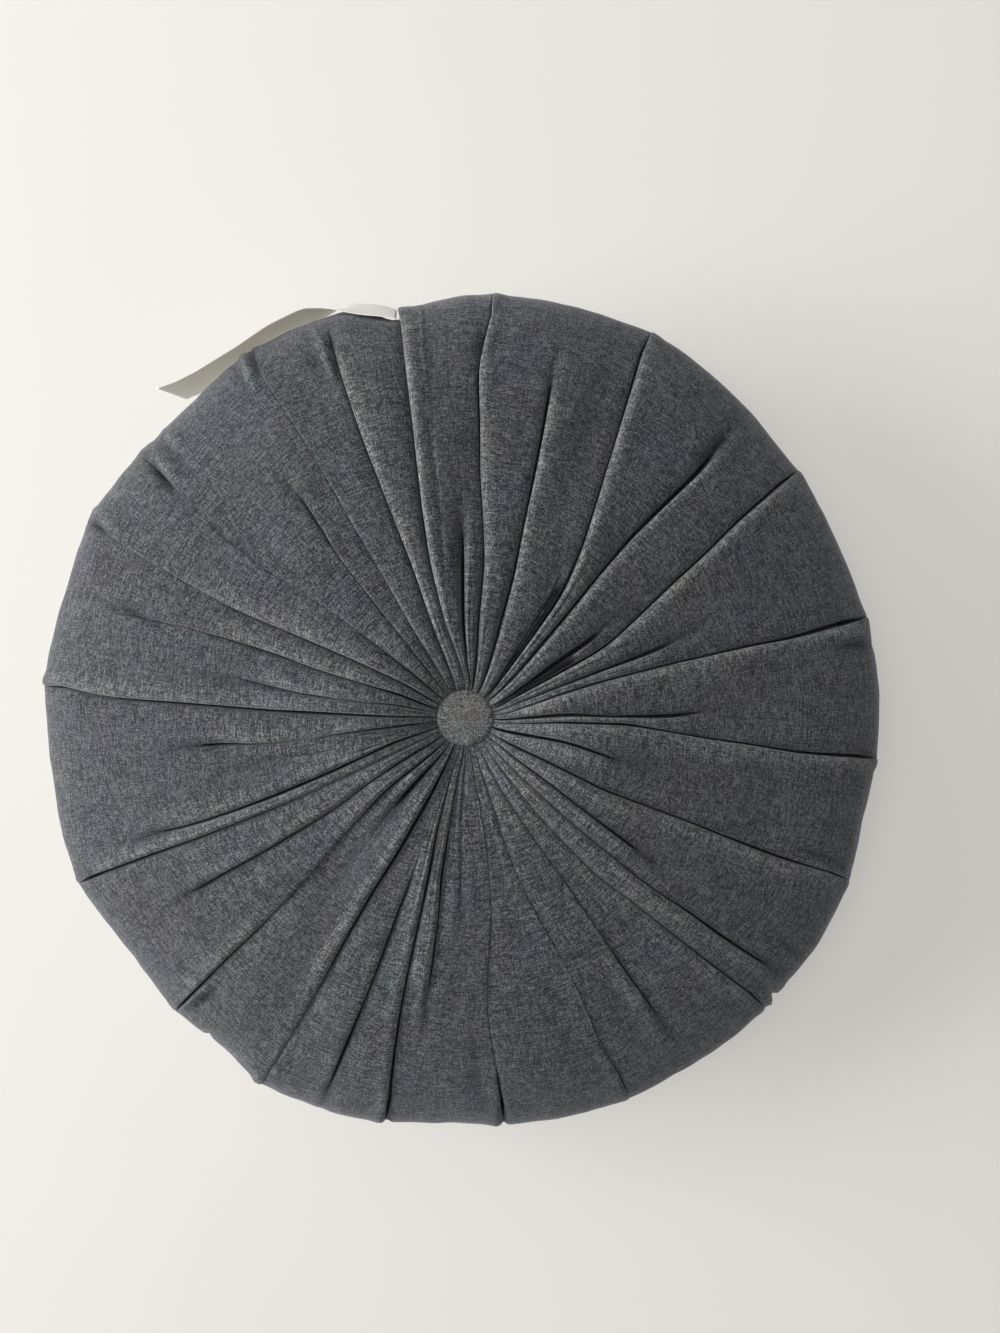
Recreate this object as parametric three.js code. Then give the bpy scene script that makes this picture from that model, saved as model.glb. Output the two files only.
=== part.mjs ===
// Tufted round pillow: one filled cloth solid, pleated over its side and gathered to a covered
// button on each face, with a care label sewn into its side seam. It lies on its back, face up.
// Millimetres, +Z up, +Y towards the side seam. Angles are degrees, clockwise from +Y as seen
// from above, about the axis through the two buttons. Heights in the sections below are
// measured from mid-height, and the whole pillow is set on its origin at the end.

import * as THREE from "three";

// The filled cushion
const RIM_RADIUS = 200;
const HALF_HEIGHT = 50;
const CROWN_RADIUS = 115;
const TUFT_DEPTH = 15;
const TUFT_WIDTH = 27;
const TUFT_SHARPNESS = 1.6;
const DROOP = 22;
const DROOP_INNER = 45;
const DROOP_POWER = 1.1;
const PANEL_PUFF = 2.2;
const PUFFED_PANEL = 30;
const PUFF_INNER = 160;
const PUFF_OUTER = 196;

// The flat ring that the back rests on
const REST_INNER = 95;
const REST_OUTER = 140;
const BACK_TUFT_DEPTH = 12;
const BACK_TUFT_POWER = 1.9;
const BACK_FOLD_SHARE = 0.6;
const BACK_CLEARANCE = 3.5;

// The covered buttons, and the cloth under them
const BUTTON_RADIUS = 12.6;
const BUTTON_THICKNESS = 6.6;
const BUTTON_SEGMENTS = 32;
const SEAT_RADIUS = 13;
const SEAT_HEIGHT = 33.6;
const CONTACT_GAP = 0.3;

// A pleat's section, in millimetres along the ring: the covering edge and the crease under it
const LIP_OFFSET = 0.9;
const CREASE_OFFSET = 0.4;

// The same section's heights, as shares of the fold's height
const TROUGH_SHARE = -0.25;
const CREASE_SHARE = -0.6;
const LIP_SHARE = 0.4;

// Most of the way to the next fold that each of them may take, where folds crowd together
const TROUGH_CROWDED = 0.45;
const CREASE_CROWDED = 0.15;
const LIP_CROWDED = 0.2;

// A fold runs out over this length, and is lower inside the gather radius
const FADE_LENGTH = 14;
const GATHER_RADIUS = 24;
const GATHERED_SHARE = 0.35;

// The viewpoint that the fold lines are seen from, and the height of the cloth at the button
const VIEWPOINT = new THREE.Vector3(15.7, 23.1, 486);
const BUTTON_LEVEL = 37;

// Outer radius of a fold that runs on over the side, past the rim
const OVER_SIDE = 260;

// Radii at which each fold's line is given, from the side in to the button
const FOLD_RADII = [185, 155, 132, 110, 88, 67, 45, 28, 16];

// The folds, clockwise. height: how far the clockwise panel's edge stands above the crease.
// trough: the width of the hollow beside the crease. outer: the fold runs out outside this
// radius. rim: the outline's radius there. line: the fold's angle at each of FOLD_RADII.
const FOLDS = [
  [3.0, 4, 82, 200.6, [-2.6, -2.8, -2.2, -1.4, -0.6, -1.0, -1.2, 1.0, 8.5]],
  [2.6, 3, OVER_SIDE, 201.5, [3.7, 2.2, 2.8, 3.5, 5.2, 7.0, 7.9, 10.6, 13.8]],
  [2.4, 3, 156, 202.7, [14.2, 14.5, 15.2, 16.0, 17.0, 18.8, 20.6, 23.8, 27.3]],
  [3.2, 3, 76, 203.3, [20.5, 21.2, 23.0, 26.0, 31.0, 35.0, 36.6, 39.2, 43.3]],
  [4.2, 4, OVER_SIDE, 203.6, [25.8, 27.5, 29.3, 31.7, 35.0, 38.0, 39.8, 42.3, 46.3]],
  [3.2, 3, 168, 198.9, [42.5, 43.4, 43.0, 42.7, 43.2, 44.5, 46.6, 50.2, 53.8]],
  [3.0, 5, 72, 198.1, [48.5, 49.5, 50.0, 51.5, 54.5, 57.9, 59.2, 62.0, 66.3]],
  [4.2, 4, OVER_SIDE, 198.5, [53.4, 54.2, 55.6, 57.2, 60.0, 63.3, 64.8, 66.6, 71.5]],
  [2.2, 3, 100, 195.3, [65.5, 66.5, 67.5, 69.3, 70.5, 70.9, 71.7, 73.8, 77.6]],
  [3.4, 3, OVER_SIDE, 198.1, [75.9, 76.2, 75.8, 75.6, 75.3, 75.2, 76.3, 79.8, 85.5]],
  [2.4, 3, 106, 197.6, [86.0, 86.5, 87.2, 88.4, 89.6, 89.6, 88.5, 89.9, 93.2]],
  [3.6, 3, OVER_SIDE, 198.0, [95.6, 95.9, 95.4, 94.9, 93.7, 92.3, 92.7, 95.2, 99.0]],
  [2.8, 4, 70, 195.9, [104.5, 105.3, 105.6, 105.8, 105.9, 105.4, 104.0, 105.9, 109.3]],
  [3.0, 4, OVER_SIDE, 198.7, [112.9, 114.0, 114.5, 115.0, 116.1, 117.6, 118.1, 119.6, 121.3]],
  [1.8, 3, 100, 200.5, [124.4, 125.6, 126.4, 127.3, 127.7, 128.0, 128.1, 128.8, 129.0]],
  [2.2, 3, 182, 200.8, [129.2, 130.4, 131.1, 132.5, 133.5, 134.7, 136.0, 137.0, 137.2]],
  [1.8, 3, OVER_SIDE, 201.0, [134.0, 135.2, 136.4, 137.8, 140.4, 141.8, 143.8, 144.5, 144.8]],
  [1.6, 3, 160, 199.8, [146.0, 147.2, 147.7, 148.0, 148.6, 150.0, 152.0, 154.0, 154.6]],
  [1.8, 4, OVER_SIDE, 200.4, [156.6, 157.4, 157.5, 158.5, 160.3, 162.0, 162.9, 162.8, 163.2]],
  [1.6, 5, OVER_SIDE, 197.3, [174.5, 175.0, 175.6, 174.6, 172.4, 171.2, 170.6, 170.6, 171.0]],
  [1.2, 4, 80, 195.6, [180.2, 181.0, 181.6, 181.3, 181.3, 181.5, 182.2, 182.0, 178.6]],
  [2.2, 3, 132, 197.1, [186.0, 187.2, 187.8, 187.6, 187.7, 188.5, 188.2, 187.0, 184.0]],
  [2.8, 3, OVER_SIDE, 198.4, [191.2, 192.0, 192.5, 192.7, 192.8, 193.1, 194.0, 193.9, 190.0]],
  [1.6, 3, 184, 200.9, [200.3, 199.9, 199.5, 199.2, 199.0, 198.6, 198.8, 198.3, 195.8]],
  [3.6, 4, OVER_SIDE, 202.4, [209.0, 208.6, 208.4, 208.3, 207.9, 206.6, 205.0, 202.8, 201.3]],
  [3.4, 4, 54, 197.4, [217.0, 216.6, 216.4, 216.4, 216.8, 217.6, 218.0, 216.0, 211.5]],
  [2.2, 3, OVER_SIDE, 198.3, [224.7, 224.7, 224.4, 224.5, 225.2, 226.3, 227.3, 225.0, 220.5]],
  [2.4, 3, 146, 197.9, [236.4, 237.6, 237.2, 236.5, 235.8, 235.2, 236.0, 235.2, 232.4]],
  [2.4, 3, OVER_SIDE, 203.4, [246.9, 246.4, 245.8, 245.2, 244.6, 244.2, 243.8, 243.2, 242.2]],
  [3.2, 3, 146, 202.3, [251.6, 250.0, 248.7, 248.1, 247.8, 248.0, 249.2, 250.8, 250.6]],
  [1.4, 4, 92, 201.1, [258.4, 258.4, 258.4, 258.4, 258.2, 256.9, 256.4, 256.6, 256.6]],
  [2.4, 3, 120, 201.3, [266.2, 265.4, 264.3, 263.9, 262.7, 262.4, 262.9, 262.9, 262.4]],
  [3.8, 3, OVER_SIDE, 203.2, [274.4, 273.2, 273.0, 272.7, 272.2, 271.9, 271.5, 271.0, 271.2]],
  [2.2, 3, 98, 201.3, [281.0, 280.6, 280.4, 280.1, 279.4, 278.4, 278.8, 280.8, 280.2]],
  [1.8, 4, 158, 201.8, [287.4, 287.2, 288.0, 288.4, 288.5, 288.1, 288.6, 289.2, 287.6]],
  [2.8, 3, OVER_SIDE, 204.1, [297.3, 296.4, 295.8, 295.3, 295.9, 296.7, 298.1, 299.0, 298.0]],
  [2.0, 4, OVER_SIDE, 200.1, [309.0, 308.0, 306.9, 306.8, 307.8, 309.0, 309.8, 310.0, 309.6]],
  [1.8, 3, 124, 200.1, [320.0, 321.8, 323.4, 323.0, 322.0, 321.8, 321.8, 322.0, 321.6]],
  [2.4, 3, OVER_SIDE, 203.9, [329.2, 329.6, 329.9, 330.0, 329.8, 330.0, 329.8, 330.2, 331.4]],
  [2.4, 3, 190, 202.8, [340.5, 340.0, 339.8, 340.0, 340.3, 340.7, 340.6, 341.6, 343.2]],
  [6.0, 8, OVER_SIDE, 196.4, [350.7, 350.2, 349.7, 348.9, 347.9, 347.2, 348.0, 353.2, 360.6]],
].map(([height, trough, outer, rim, line]) => ({ height, trough, outer, rim, line }));
const SEAM = FOLDS.length - 1;

// The care label, a ribbon caught in the side seam that lies along the side and twists away
// from it. along: distance from the seam. front and back: the radius and height of its edges.
const LABEL_THICKNESS = 1;
const LABEL_SECTIONS = [
  { along: 0, front: { radius: 187.8, height: 20.8 }, back: { radius: 199.5, height: -3.4 } },
  { along: 13, front: { radius: 192.2, height: 20.4 }, back: { radius: 206.5, height: -5.2 } },
  { along: 22, front: { radius: 195.4, height: 19.8 }, back: { radius: 210.6, height: -6.6 } },
  { along: 33, front: { radius: 198.3, height: 18.8 }, back: { radius: 212.8, height: -8.2 } },
  { along: 44, front: { radius: 205.1, height: 16.6 }, back: { radius: 209.7, height: -12.2 } },
  { along: 60, front: { radius: 204.6, height: 15.8 }, back: { radius: 208, height: -13 } },
  { along: 80, front: { radius: 205.2, height: 15.8 }, back: { radius: 207.6, height: -13 } },
  { along: 102, front: { radius: 207.2, height: 15.6 }, back: { radius: 207.8, height: -13 } },
  { along: 124, front: { radius: 211.7, height: 15 }, back: { radius: 209.6, height: -13 } },
];

// Finishes, as seen
const CHARCOAL_CLOTH = { color: 0x3e4145, roughness: 0.95, metalness: 0 };
const BUTTON_CLOTH = { color: 0x545555, roughness: 0.95, metalness: 0 };
const LABEL_RIBBON = { color: 0xe2e0da, roughness: 0.5, metalness: 0 };

const radians = THREE.MathUtils.degToRad;
const smooth = THREE.MathUtils.smoothstep;

// Degrees that a length along a ring of the given radius covers
function arcDegrees(length, radius) {
  return THREE.MathUtils.radToDeg(length / radius);
}

// A point given by its angle and radius about the button axis, and its height
function polarPoint(angle, radius, height) {
  return new THREE.Vector3(radius * Math.sin(radians(angle)), radius * Math.cos(radians(angle)), height);
}

// Value at x of the line through the points (xs, ys), with xs falling
function interpolate(xs, ys, x) {
  if (x >= xs[0]) return ys[0];
  const last = xs.length - 1;
  if (x <= xs[last]) return ys[last];
  const next = xs.findIndex((value) => value < x);
  return THREE.MathUtils.mapLinear(x, xs[next - 1], xs[next], ys[next - 1], ys[next]);
}

// Height of the face above mid-height: a rounded side, less the hollow drawn in at the tuft and
// a droop that grows outwards and ends at the rim, so that the face is domed
function faceHeight(radius) {
  const outward = Math.max(0, (radius - CROWN_RADIUS) / (RIM_RADIUS - CROWN_RADIUS));
  const side = HALF_HEIGHT * Math.sqrt(Math.max(0, 1 - outward ** 2));
  const tuft = TUFT_DEPTH * Math.exp(-((radius / TUFT_WIDTH) ** TUFT_SHARPNESS));
  const share = Math.max(0, (radius - DROOP_INNER) / (RIM_RADIUS - DROOP_INNER));
  return side - (tuft + DROOP * share ** DROOP_POWER) * (1 - outward ** 2);
}

// Depth of the back below mid-height: the same side, a flat ring to rest on, and its own tuft
function backDepth(radius) {
  const outward = Math.max(0, (radius - REST_OUTER) / (RIM_RADIUS - REST_OUTER));
  const inward = Math.max(0, (REST_INNER - radius) / (REST_INNER - SEAT_RADIUS));
  return HALF_HEIGHT * Math.sqrt(Math.max(0, 1 - outward ** 2)) - BACK_TUFT_DEPTH * inward ** BACK_TUFT_POWER;
}

// Angle at which a line seen at the given angle truly lies: cloth above the button's level is
// nearer to the viewpoint, and seems to stand further from it than it does
function trueAngle(angle, radius) {
  const lean = (faceHeight(radius) - BUTTON_LEVEL) / (VIEWPOINT.z - BUTTON_LEVEL);
  const sine = Math.sin(radians(angle));
  const cosine = Math.cos(radians(angle));
  const sideways = lean * (VIEWPOINT.x * cosine - VIEWPOINT.y * sine);
  const outwards = lean * (VIEWPOINT.x * sine + VIEWPOINT.y * cosine);
  return angle + THREE.MathUtils.radToDeg(Math.atan2(sideways, radius + outwards));
}

// Angle of a fold's line. On the back it runs on from the side to an even place at the button.
function foldAngle(index, station) {
  const fold = FOLDS[index];
  if (station.front) {
    return trueAngle(interpolate(FOLD_RADII, fold.line, station.radius), station.radius);
  }
  const side = trueAngle(fold.line[0], RIM_RADIUS);
  const even = FOLDS[0].line[0] + (360 * index) / FOLDS.length;
  return THREE.MathUtils.lerp(side, even, 1 - smooth(station.radius, BUTTON_RADIUS, RIM_RADIUS));
}

// How far a fold stands up at a station: it runs out past its outer end, and low at the button
function foldHeight(fold, station) {
  const reach = 1 - smooth(station.radius, fold.outer - FADE_LENGTH, fold.outer + FADE_LENGTH);
  const gather = smooth(station.radius, SEAT_RADIUS, GATHER_RADIUS);
  const share = station.front ? 1 : BACK_FOLD_SHARE;
  return fold.height * reach * share * THREE.MathUtils.lerp(GATHERED_SHARE, 1, gather);
}

// The columns of one ring: each fold's trough, crease and lip, and the panel that follows it
function ringColumns(station) {
  const count = FOLDS.length;
  const angles = FOLDS.map((_, index) => foldAngle(index, station));
  const angleAt = (index) => angles[(index + count) % count] + 360 * Math.floor(index / count);
  const columns = [];
  for (let index = 0; index < count; index += 1) {
    const fold = FOLDS[index];
    const height = foldHeight(fold, station);
    const before = angleAt(index) - angleAt(index - 1);
    const after = angleAt(index + 1) - angleAt(index);
    const nextFold = FOLDS[(index + 1) % count];
    const trough = Math.min(arcDegrees(fold.trough, station.radius), TROUGH_CROWDED * before);
    const crease = Math.min(arcDegrees(CREASE_OFFSET, station.radius), CREASE_CROWDED * before);
    const lip = Math.min(arcDegrees(LIP_OFFSET, station.radius), LIP_CROWDED * after);
    const nextTrough = Math.min(arcDegrees(nextFold.trough, station.radius), TROUGH_CROWDED * after);
    const panel = (lip + after - nextTrough) / 2;
    const width = radians(after) * station.radius;
    const flatter = 1 - smooth(station.radius, PUFF_INNER, PUFF_OUTER);
    const puff = PANEL_PUFF * Math.min(1, width / PUFFED_PANEL) * flatter * station.lift;
    columns.push({ angle: angleAt(index) - trough, rise: TROUGH_SHARE * height });
    columns.push({ angle: angleAt(index) - crease, rise: CREASE_SHARE * height });
    columns.push({ angle: angleAt(index) + lip, rise: LIP_SHARE * height * station.lift });
    columns.push({ angle: angleAt(index) + panel, rise: puff });
  }
  return columns;
}

// Outline's radius at an angle, straight from fold to fold
function rimRadius(angle) {
  const turned = THREE.MathUtils.euclideanModulo(angle - FOLDS[0].line[0], 360) + FOLDS[0].line[0];
  const next = FOLDS.findIndex((fold) => fold.line[0] > turned);
  const upper = next < 0 ? { ...FOLDS[0], line: [FOLDS[0].line[0] + 360] } : FOLDS[next];
  const lower = next < 0 ? FOLDS[SEAM] : FOLDS[next - 1];
  return THREE.MathUtils.mapLinear(turned, lower.line[0], upper.line[0], lower.rim, upper.rim);
}

// A station of the section: its nominal radius and height, the way its surface faces, and how
// much of a fold stands proud there, which on the back is no more than its clearance allows
function makeStation(radius, front) {
  const heightAt = (r) => (front ? faceHeight(r) : -backDepth(r));
  const step = 0.5;
  const inner = Math.max(0, radius - step);
  const outer = Math.min(RIM_RADIUS, radius + step);
  const slope = (heightAt(outer) - heightAt(inner)) / (outer - inner);
  const side = front ? 1 : -1;
  const normal = new THREE.Vector2(-slope * side, 1 * side).normalize();
  const clearance = HALF_HEIGHT - Math.abs(heightAt(radius));
  const lift = front ? 1 : Math.min(1, clearance / BACK_CLEARANCE);
  return { radius, front, height: heightAt(radius), normal, lift };
}

// The stations from the front seat, out over the side and in to the back seat
function makeStations() {
  const face = [14.4, 17, 21, 27, 35, 46, 57, 68, 79, 90, 102];
  const side = [0, 12, 24, 36, 47, 58, 68, 79].map(radians);
  const frontSide = side.map((turn) => CROWN_RADIUS + (RIM_RADIUS - CROWN_RADIUS) * Math.sin(turn));
  const backTurns = [72, 52, 32].map(radians);
  const backSide = backTurns.map((turn) => REST_OUTER + (RIM_RADIUS - REST_OUTER) * Math.sin(turn));
  const back = [REST_OUTER, (REST_INNER + REST_OUTER) / 2, REST_INNER, 76, 58, 42, 29, 20, 14.4];
  const rim = { ...makeStation(RIM_RADIUS, true), height: 0, normal: new THREE.Vector2(1, 0) };
  return [
    ...[...face, ...frontSide].map((radius) => makeStation(radius, true)),
    rim,
    ...[...backSide, ...back].map((radius) => makeStation(radius, false)),
  ];
}

// One ring of points, shaped by the folds and drawn to the outline near the side
function ringPoints(station) {
  return ringColumns(station).map(({ angle, rise }) => {
    const stretch = (rimRadius(angle) / RIM_RADIUS - 1) * (station.radius / RIM_RADIUS) ** 3;
    const radius = station.radius * (1 + stretch) + station.normal.x * rise;
    return polarPoint(angle, radius, station.height + station.normal.y * rise);
  });
}

// A flat ring of points under a button, on the same columns
function seatPoints(station, height) {
  return ringColumns(station).map(({ angle }) => polarPoint(angle, SEAT_RADIUS, height));
}

// A closed skin over rings of equal counts, ended by a fan at each side
function ringedGeometry(rings, firstCentre, lastCentre) {
  const count = rings[0].length;
  const points = [...rings.flat(), firstCentre, lastCentre];
  const firstIndex = points.length - 2;
  const lastIndex = points.length - 1;
  const faces = [];
  for (let column = 0; column < count; column += 1) {
    const next = (column + 1) % count;
    const lastRing = (rings.length - 1) * count;
    faces.push(firstIndex, next, column, lastIndex, lastRing + column, lastRing + next);
    for (let ring = 0; ring + 1 < rings.length; ring += 1) {
      const here = ring * count;
      const there = here + count;
      faces.push(here + column, here + next, there + next);
      faces.push(here + column, there + next, there + column);
    }
  }
  const geometry = new THREE.BufferGeometry().setFromPoints(points);
  geometry.setIndex(faces);
  geometry.computeVertexNormals();
  return geometry;
}

function makeMesh(name, geometry, finish) {
  const mesh = new THREE.Mesh(geometry, new THREE.MeshStandardMaterial(finish));
  mesh.name = name;
  return mesh;
}

// The filled cloth body with its folds
function makeCushion() {
  const stations = makeStations();
  const rings = [
    seatPoints(stations[0], SEAT_HEIGHT),
    ...stations.map(ringPoints),
    seatPoints(stations[stations.length - 1], -SEAT_HEIGHT),
  ];
  const frontCentre = new THREE.Vector3(0, 0, SEAT_HEIGHT);
  const backCentre = new THREE.Vector3(0, 0, -SEAT_HEIGHT);
  return makeMesh("cushion", ringedGeometry(rings, frontCentre, backCentre), CHARCOAL_CLOTH);
}

// A covered button: a flat underside, a rounded edge and a low dome, standing on z = 0
function makeButton(name) {
  const profile = [
    [0, 0],
    [BUTTON_RADIUS - 1.4, 0],
    [BUTTON_RADIUS - 0.3, 1.0],
    [BUTTON_RADIUS, 2.4],
    [BUTTON_RADIUS - 0.6, 3.9],
    [BUTTON_RADIUS - 2.2, 5.0],
    [BUTTON_RADIUS * 0.5, BUTTON_THICKNESS - 0.4],
    [0, BUTTON_THICKNESS],
  ].map(([radius, height]) => new THREE.Vector2(radius, height));
  const geometry = new THREE.LatheGeometry(profile, BUTTON_SEGMENTS);
  geometry.rotateX(Math.PI / 2);
  return makeMesh(name, geometry, BUTTON_CLOTH);
}

// The label: each section is a thin quadrilateral across the ribbon, set out from the seam
function makeLabel() {
  const seam = trueAngle(FOLDS[SEAM].line[0], RIM_RADIUS);
  const seamAngle = seam - arcDegrees(CREASE_OFFSET + CONTACT_GAP, RIM_RADIUS);
  const rings = LABEL_SECTIONS.map(({ along, front, back }) => {
    const angle = seamAngle - arcDegrees(along, (front.radius + back.radius) / 2);
    const across = new THREE.Vector2(back.radius - front.radius, back.height - front.height).normalize();
    const outward = new THREE.Vector2(-across.y, across.x).multiplyScalar(LABEL_THICKNESS / 2);
    const corner = (edge, sign) =>
      polarPoint(angle, edge.radius + sign * outward.x, edge.height + sign * outward.y);
    return [corner(front, -1), corner(front, 1), corner(back, 1), corner(back, -1)];
  });
  const middle = (ring) => {
    const sum = ring.reduce((total, point) => total.add(point), new THREE.Vector3());
    return sum.divideScalar(ring.length);
  };
  const geometry = ringedGeometry(rings, middle(rings[0]), middle(rings[rings.length - 1]));
  return makeMesh("care_label", geometry, LABEL_RIBBON);
}

// Move the whole pillow so that its box is centred on X and Y and stands on z = 0
function setOnOrigin(group) {
  const box = new THREE.Box3().setFromObject(group);
  const centre = box.getCenter(new THREE.Vector3());
  group.position.set(-centre.x, -centre.y, -box.min.z);
}

function makePillow() {
  const frontButton = makeButton("button_front");
  frontButton.position.z = SEAT_HEIGHT + CONTACT_GAP;
  const backButton = makeButton("button_back");
  backButton.rotation.x = Math.PI;
  backButton.position.z = -SEAT_HEIGHT - CONTACT_GAP;
  const pillow = new THREE.Group();
  pillow.add(makeCushion(), frontButton, backButton, makeLabel());
  setOnOrigin(pillow);
  return pillow;
}

export default makePillow();
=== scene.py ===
"""A tufted round pillow: a pleated cloth cover, two covered buttons and a care label.

Every piece is a surface worked out on a numpy grid. Lengths in the shapes are millimetres and
heights are measured from the pillow's mid-height. Angles are degrees, clockwise from +Y as seen
from above, about the axis through the two buttons. The meshes are made in metres.
"""

import logging
import math
from dataclasses import dataclass, field
from enum import Enum

import bpy
import numpy as np
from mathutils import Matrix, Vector

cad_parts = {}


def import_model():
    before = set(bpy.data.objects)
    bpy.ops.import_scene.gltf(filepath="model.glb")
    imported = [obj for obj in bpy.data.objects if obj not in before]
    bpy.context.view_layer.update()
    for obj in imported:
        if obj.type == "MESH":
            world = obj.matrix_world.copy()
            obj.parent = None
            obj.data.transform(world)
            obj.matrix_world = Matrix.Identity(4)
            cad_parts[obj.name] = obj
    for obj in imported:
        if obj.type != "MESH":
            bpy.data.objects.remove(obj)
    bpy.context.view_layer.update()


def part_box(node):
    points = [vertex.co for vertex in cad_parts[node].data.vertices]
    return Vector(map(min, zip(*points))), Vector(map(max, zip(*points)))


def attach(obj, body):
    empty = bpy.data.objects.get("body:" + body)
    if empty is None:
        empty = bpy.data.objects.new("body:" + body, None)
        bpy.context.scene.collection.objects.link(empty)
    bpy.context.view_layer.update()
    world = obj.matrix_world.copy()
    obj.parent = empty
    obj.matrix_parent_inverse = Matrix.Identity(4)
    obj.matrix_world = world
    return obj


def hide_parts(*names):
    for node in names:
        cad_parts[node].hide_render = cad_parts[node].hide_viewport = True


Array = np.ndarray
Node = bpy.types.Node
Socket = bpy.types.NodeSocket
Colour = tuple[float, float, float]
Scale = tuple[float, float, float]
Span = tuple[float, float]

LOG = logging.getLogger("pillow")
MILLIMETRE = 0.001
# A product of two slopes below this is level, and no panel is narrower than this.
LEVEL = 1e-12
NARROWEST = 1e-6


class Side(Enum):
    """The two faces of the pillow, by the sign of their height."""

    FRONT = 1
    BACK = -1


# Curves and grids.


def smoothstep(value: Array, low: float, high: float) -> Array:
    """Rise from 0 at low to 1 at high, level at both: 3t² - 2t³ of the share t between them."""
    share = np.clip((value - low) / (high - low), 0.0, 1.0)
    return share * share * (3.0 - 2.0 * share)


def lerp(start: Array, end: Array, share: Array) -> Array:
    """Value a share of the way from start to end."""
    return start + (end - start) * share


def bell(value: Array, centre: float, width: float) -> Array:
    """A rounded hump of height 1: e to the power of minus the squared distance over width."""
    return np.exp(-(((value - centre) / width) ** 2))


def curve_through(knots: Array, values: Array, at: Array) -> Array:
    """Smooth curves through rising knots that don't overshoot them.

    Between two knots each curve is the cubic with a given slope at each end. That slope is the
    weighted harmonic mean of the chords on both sides where they agree in sign, or else level.

    Args:
        knots: The K rising places at which values are given.
        values: The values there, as an (N, K) array of N curves.
        at: The M places to find.

    Returns:
        The curves' values, as an (N, M) array.
    """
    steps = np.diff(knots)
    chords = np.diff(values, axis=1) / steps
    before, after = chords[:, :-1], chords[:, 1:]
    weight_before = 2 * steps[1:] + steps[:-1]
    weight_after = steps[1:] + 2 * steps[:-1]
    agree = before * after > LEVEL
    safe_before = np.where(agree, before, 1.0)
    safe_after = np.where(agree, after, 1.0)
    weights = weight_before + weight_after
    mean = weights / (weight_before / safe_before + weight_after / safe_after)
    slopes = np.zeros_like(values)
    slopes[:, 1:-1] = np.where(agree, mean, 0.0)
    slopes[:, 0], slopes[:, -1] = chords[:, 0], chords[:, -1]
    index = np.clip(np.searchsorted(knots, at) - 1, 0, len(knots) - 2)
    step = steps[index]
    share = np.clip((at - knots[index]) / step, 0.0, 1.0)
    rise = share * share * (3 - 2 * share)
    return (
        values[:, index] * (1 - rise)
        + values[:, index + 1] * rise
        + slopes[:, index] * step * share * (1 - share) ** 2
        - slopes[:, index + 1] * step * share**2 * (1 - share)
    )


def own_or(own: Array, other: Array, use_other: Array) -> Array:
    """For every column its own fold's value, or the other fold's where use_other is set."""
    return np.where(use_other, other[..., None], own[..., None])


def polar_points(angle: Array, radius: Array, height: Array) -> Array:
    """Points at an angle and radius about the button axis: radius times its sine and cosine."""
    turn, radius, height = np.broadcast_arrays(np.radians(angle), radius, height)
    return np.stack([radius * np.sin(turn), radius * np.cos(turn), height], axis=-1)


def ring_faces(rings: int, columns: int) -> Array:
    """Quads of a grid whose rings close on themselves, facing out where the rings run outwards.

    Args:
        rings: How many rings there are.
        columns: How many points each ring has.

    Returns:
        Indices of the quads' corners, as an (N, 4) array.
    """
    ring, column = np.meshgrid(np.arange(rings - 1), np.arange(columns), indexing="ij")
    following = (column + 1) % columns
    here, there = ring * columns, (ring + 1) * columns
    quads = np.stack([here + column, here + following, there + following, there + column], -1)
    return quads.reshape(-1, 4)


def end_fans(rings: int, columns: int) -> list[Array]:
    """Triangles that close a grid of rings at both ends, on two points that follow the grid's.

    Args:
        rings: How many rings there are.
        columns: How many points each ring has.

    Returns:
        The first ring's triangles and the last ring's, as two (N, 3) arrays.
    """
    ring = np.arange(columns)
    following = np.roll(ring, -1)
    last, total = (rings - 1) * columns, rings * columns
    first_fan = np.stack([np.full(columns, total), following, ring], -1)
    last_fan = np.stack([np.full(columns, total + 1), last + ring, last + following], -1)
    return [first_fan, last_fan]


def strip_faces(rows: int, columns: int) -> Array:
    """Quads of an open grid.

    Args:
        rows: How many rows of points there are.
        columns: How many points each row has.

    Returns:
        Indices of the quads' corners, as an (N, 4) array.
    """
    row, column = np.meshgrid(np.arange(rows - 1), np.arange(columns - 1), indexing="ij")
    corner = row * columns + column
    quads = np.stack([corner, corner + 1, corner + columns + 1, corner + columns], -1)
    return quads.reshape(-1, 4)


@dataclass(frozen=True)
class Undulation:
    """Soft unevenness of cloth: a sum of waves in two directions, from a fixed seed."""

    seed: int
    waves: int
    shortest: float
    longest: float
    stretch: float = 1.0

    def at(self, across: Array, along: Array) -> Array:
        """Height, about -1 to 1, at a place.

        Each wave is a sine of across and along over its own length, which lies between shortest
        and longest and is stretched along the cloth. Longer waves are higher.

        Args:
            across: Distance across the cloth, in millimetres.
            along: Distance along the cloth, in millimetres.

        Returns:
            The summed heights, in the shape of the arguments.
        """
        chance = np.random.default_rng(self.seed)
        total = np.zeros(np.broadcast(across, along).shape)
        power = 0.0
        for _ in range(self.waves):
            length = self.shortest * (self.longest / self.shortest) ** chance.random()
            turn = chance.uniform(0.0, 2.0 * math.pi)
            start = chance.uniform(0.0, 2.0 * math.pi)
            place = across * math.cos(turn) + along * math.sin(turn) / self.stretch
            total += length * np.sin(2.0 * math.pi * place / length + start)
            power += length * length / 2.0
        return total / (2.0 * math.sqrt(power))


# The pillow's folds and its section.

# The outer end of a fold that runs on over the side.
OVER_SIDE = 260.0
FOLD_RADII = (185, 155, 132, 110, 88, 67, 45, 28, 16)
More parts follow.
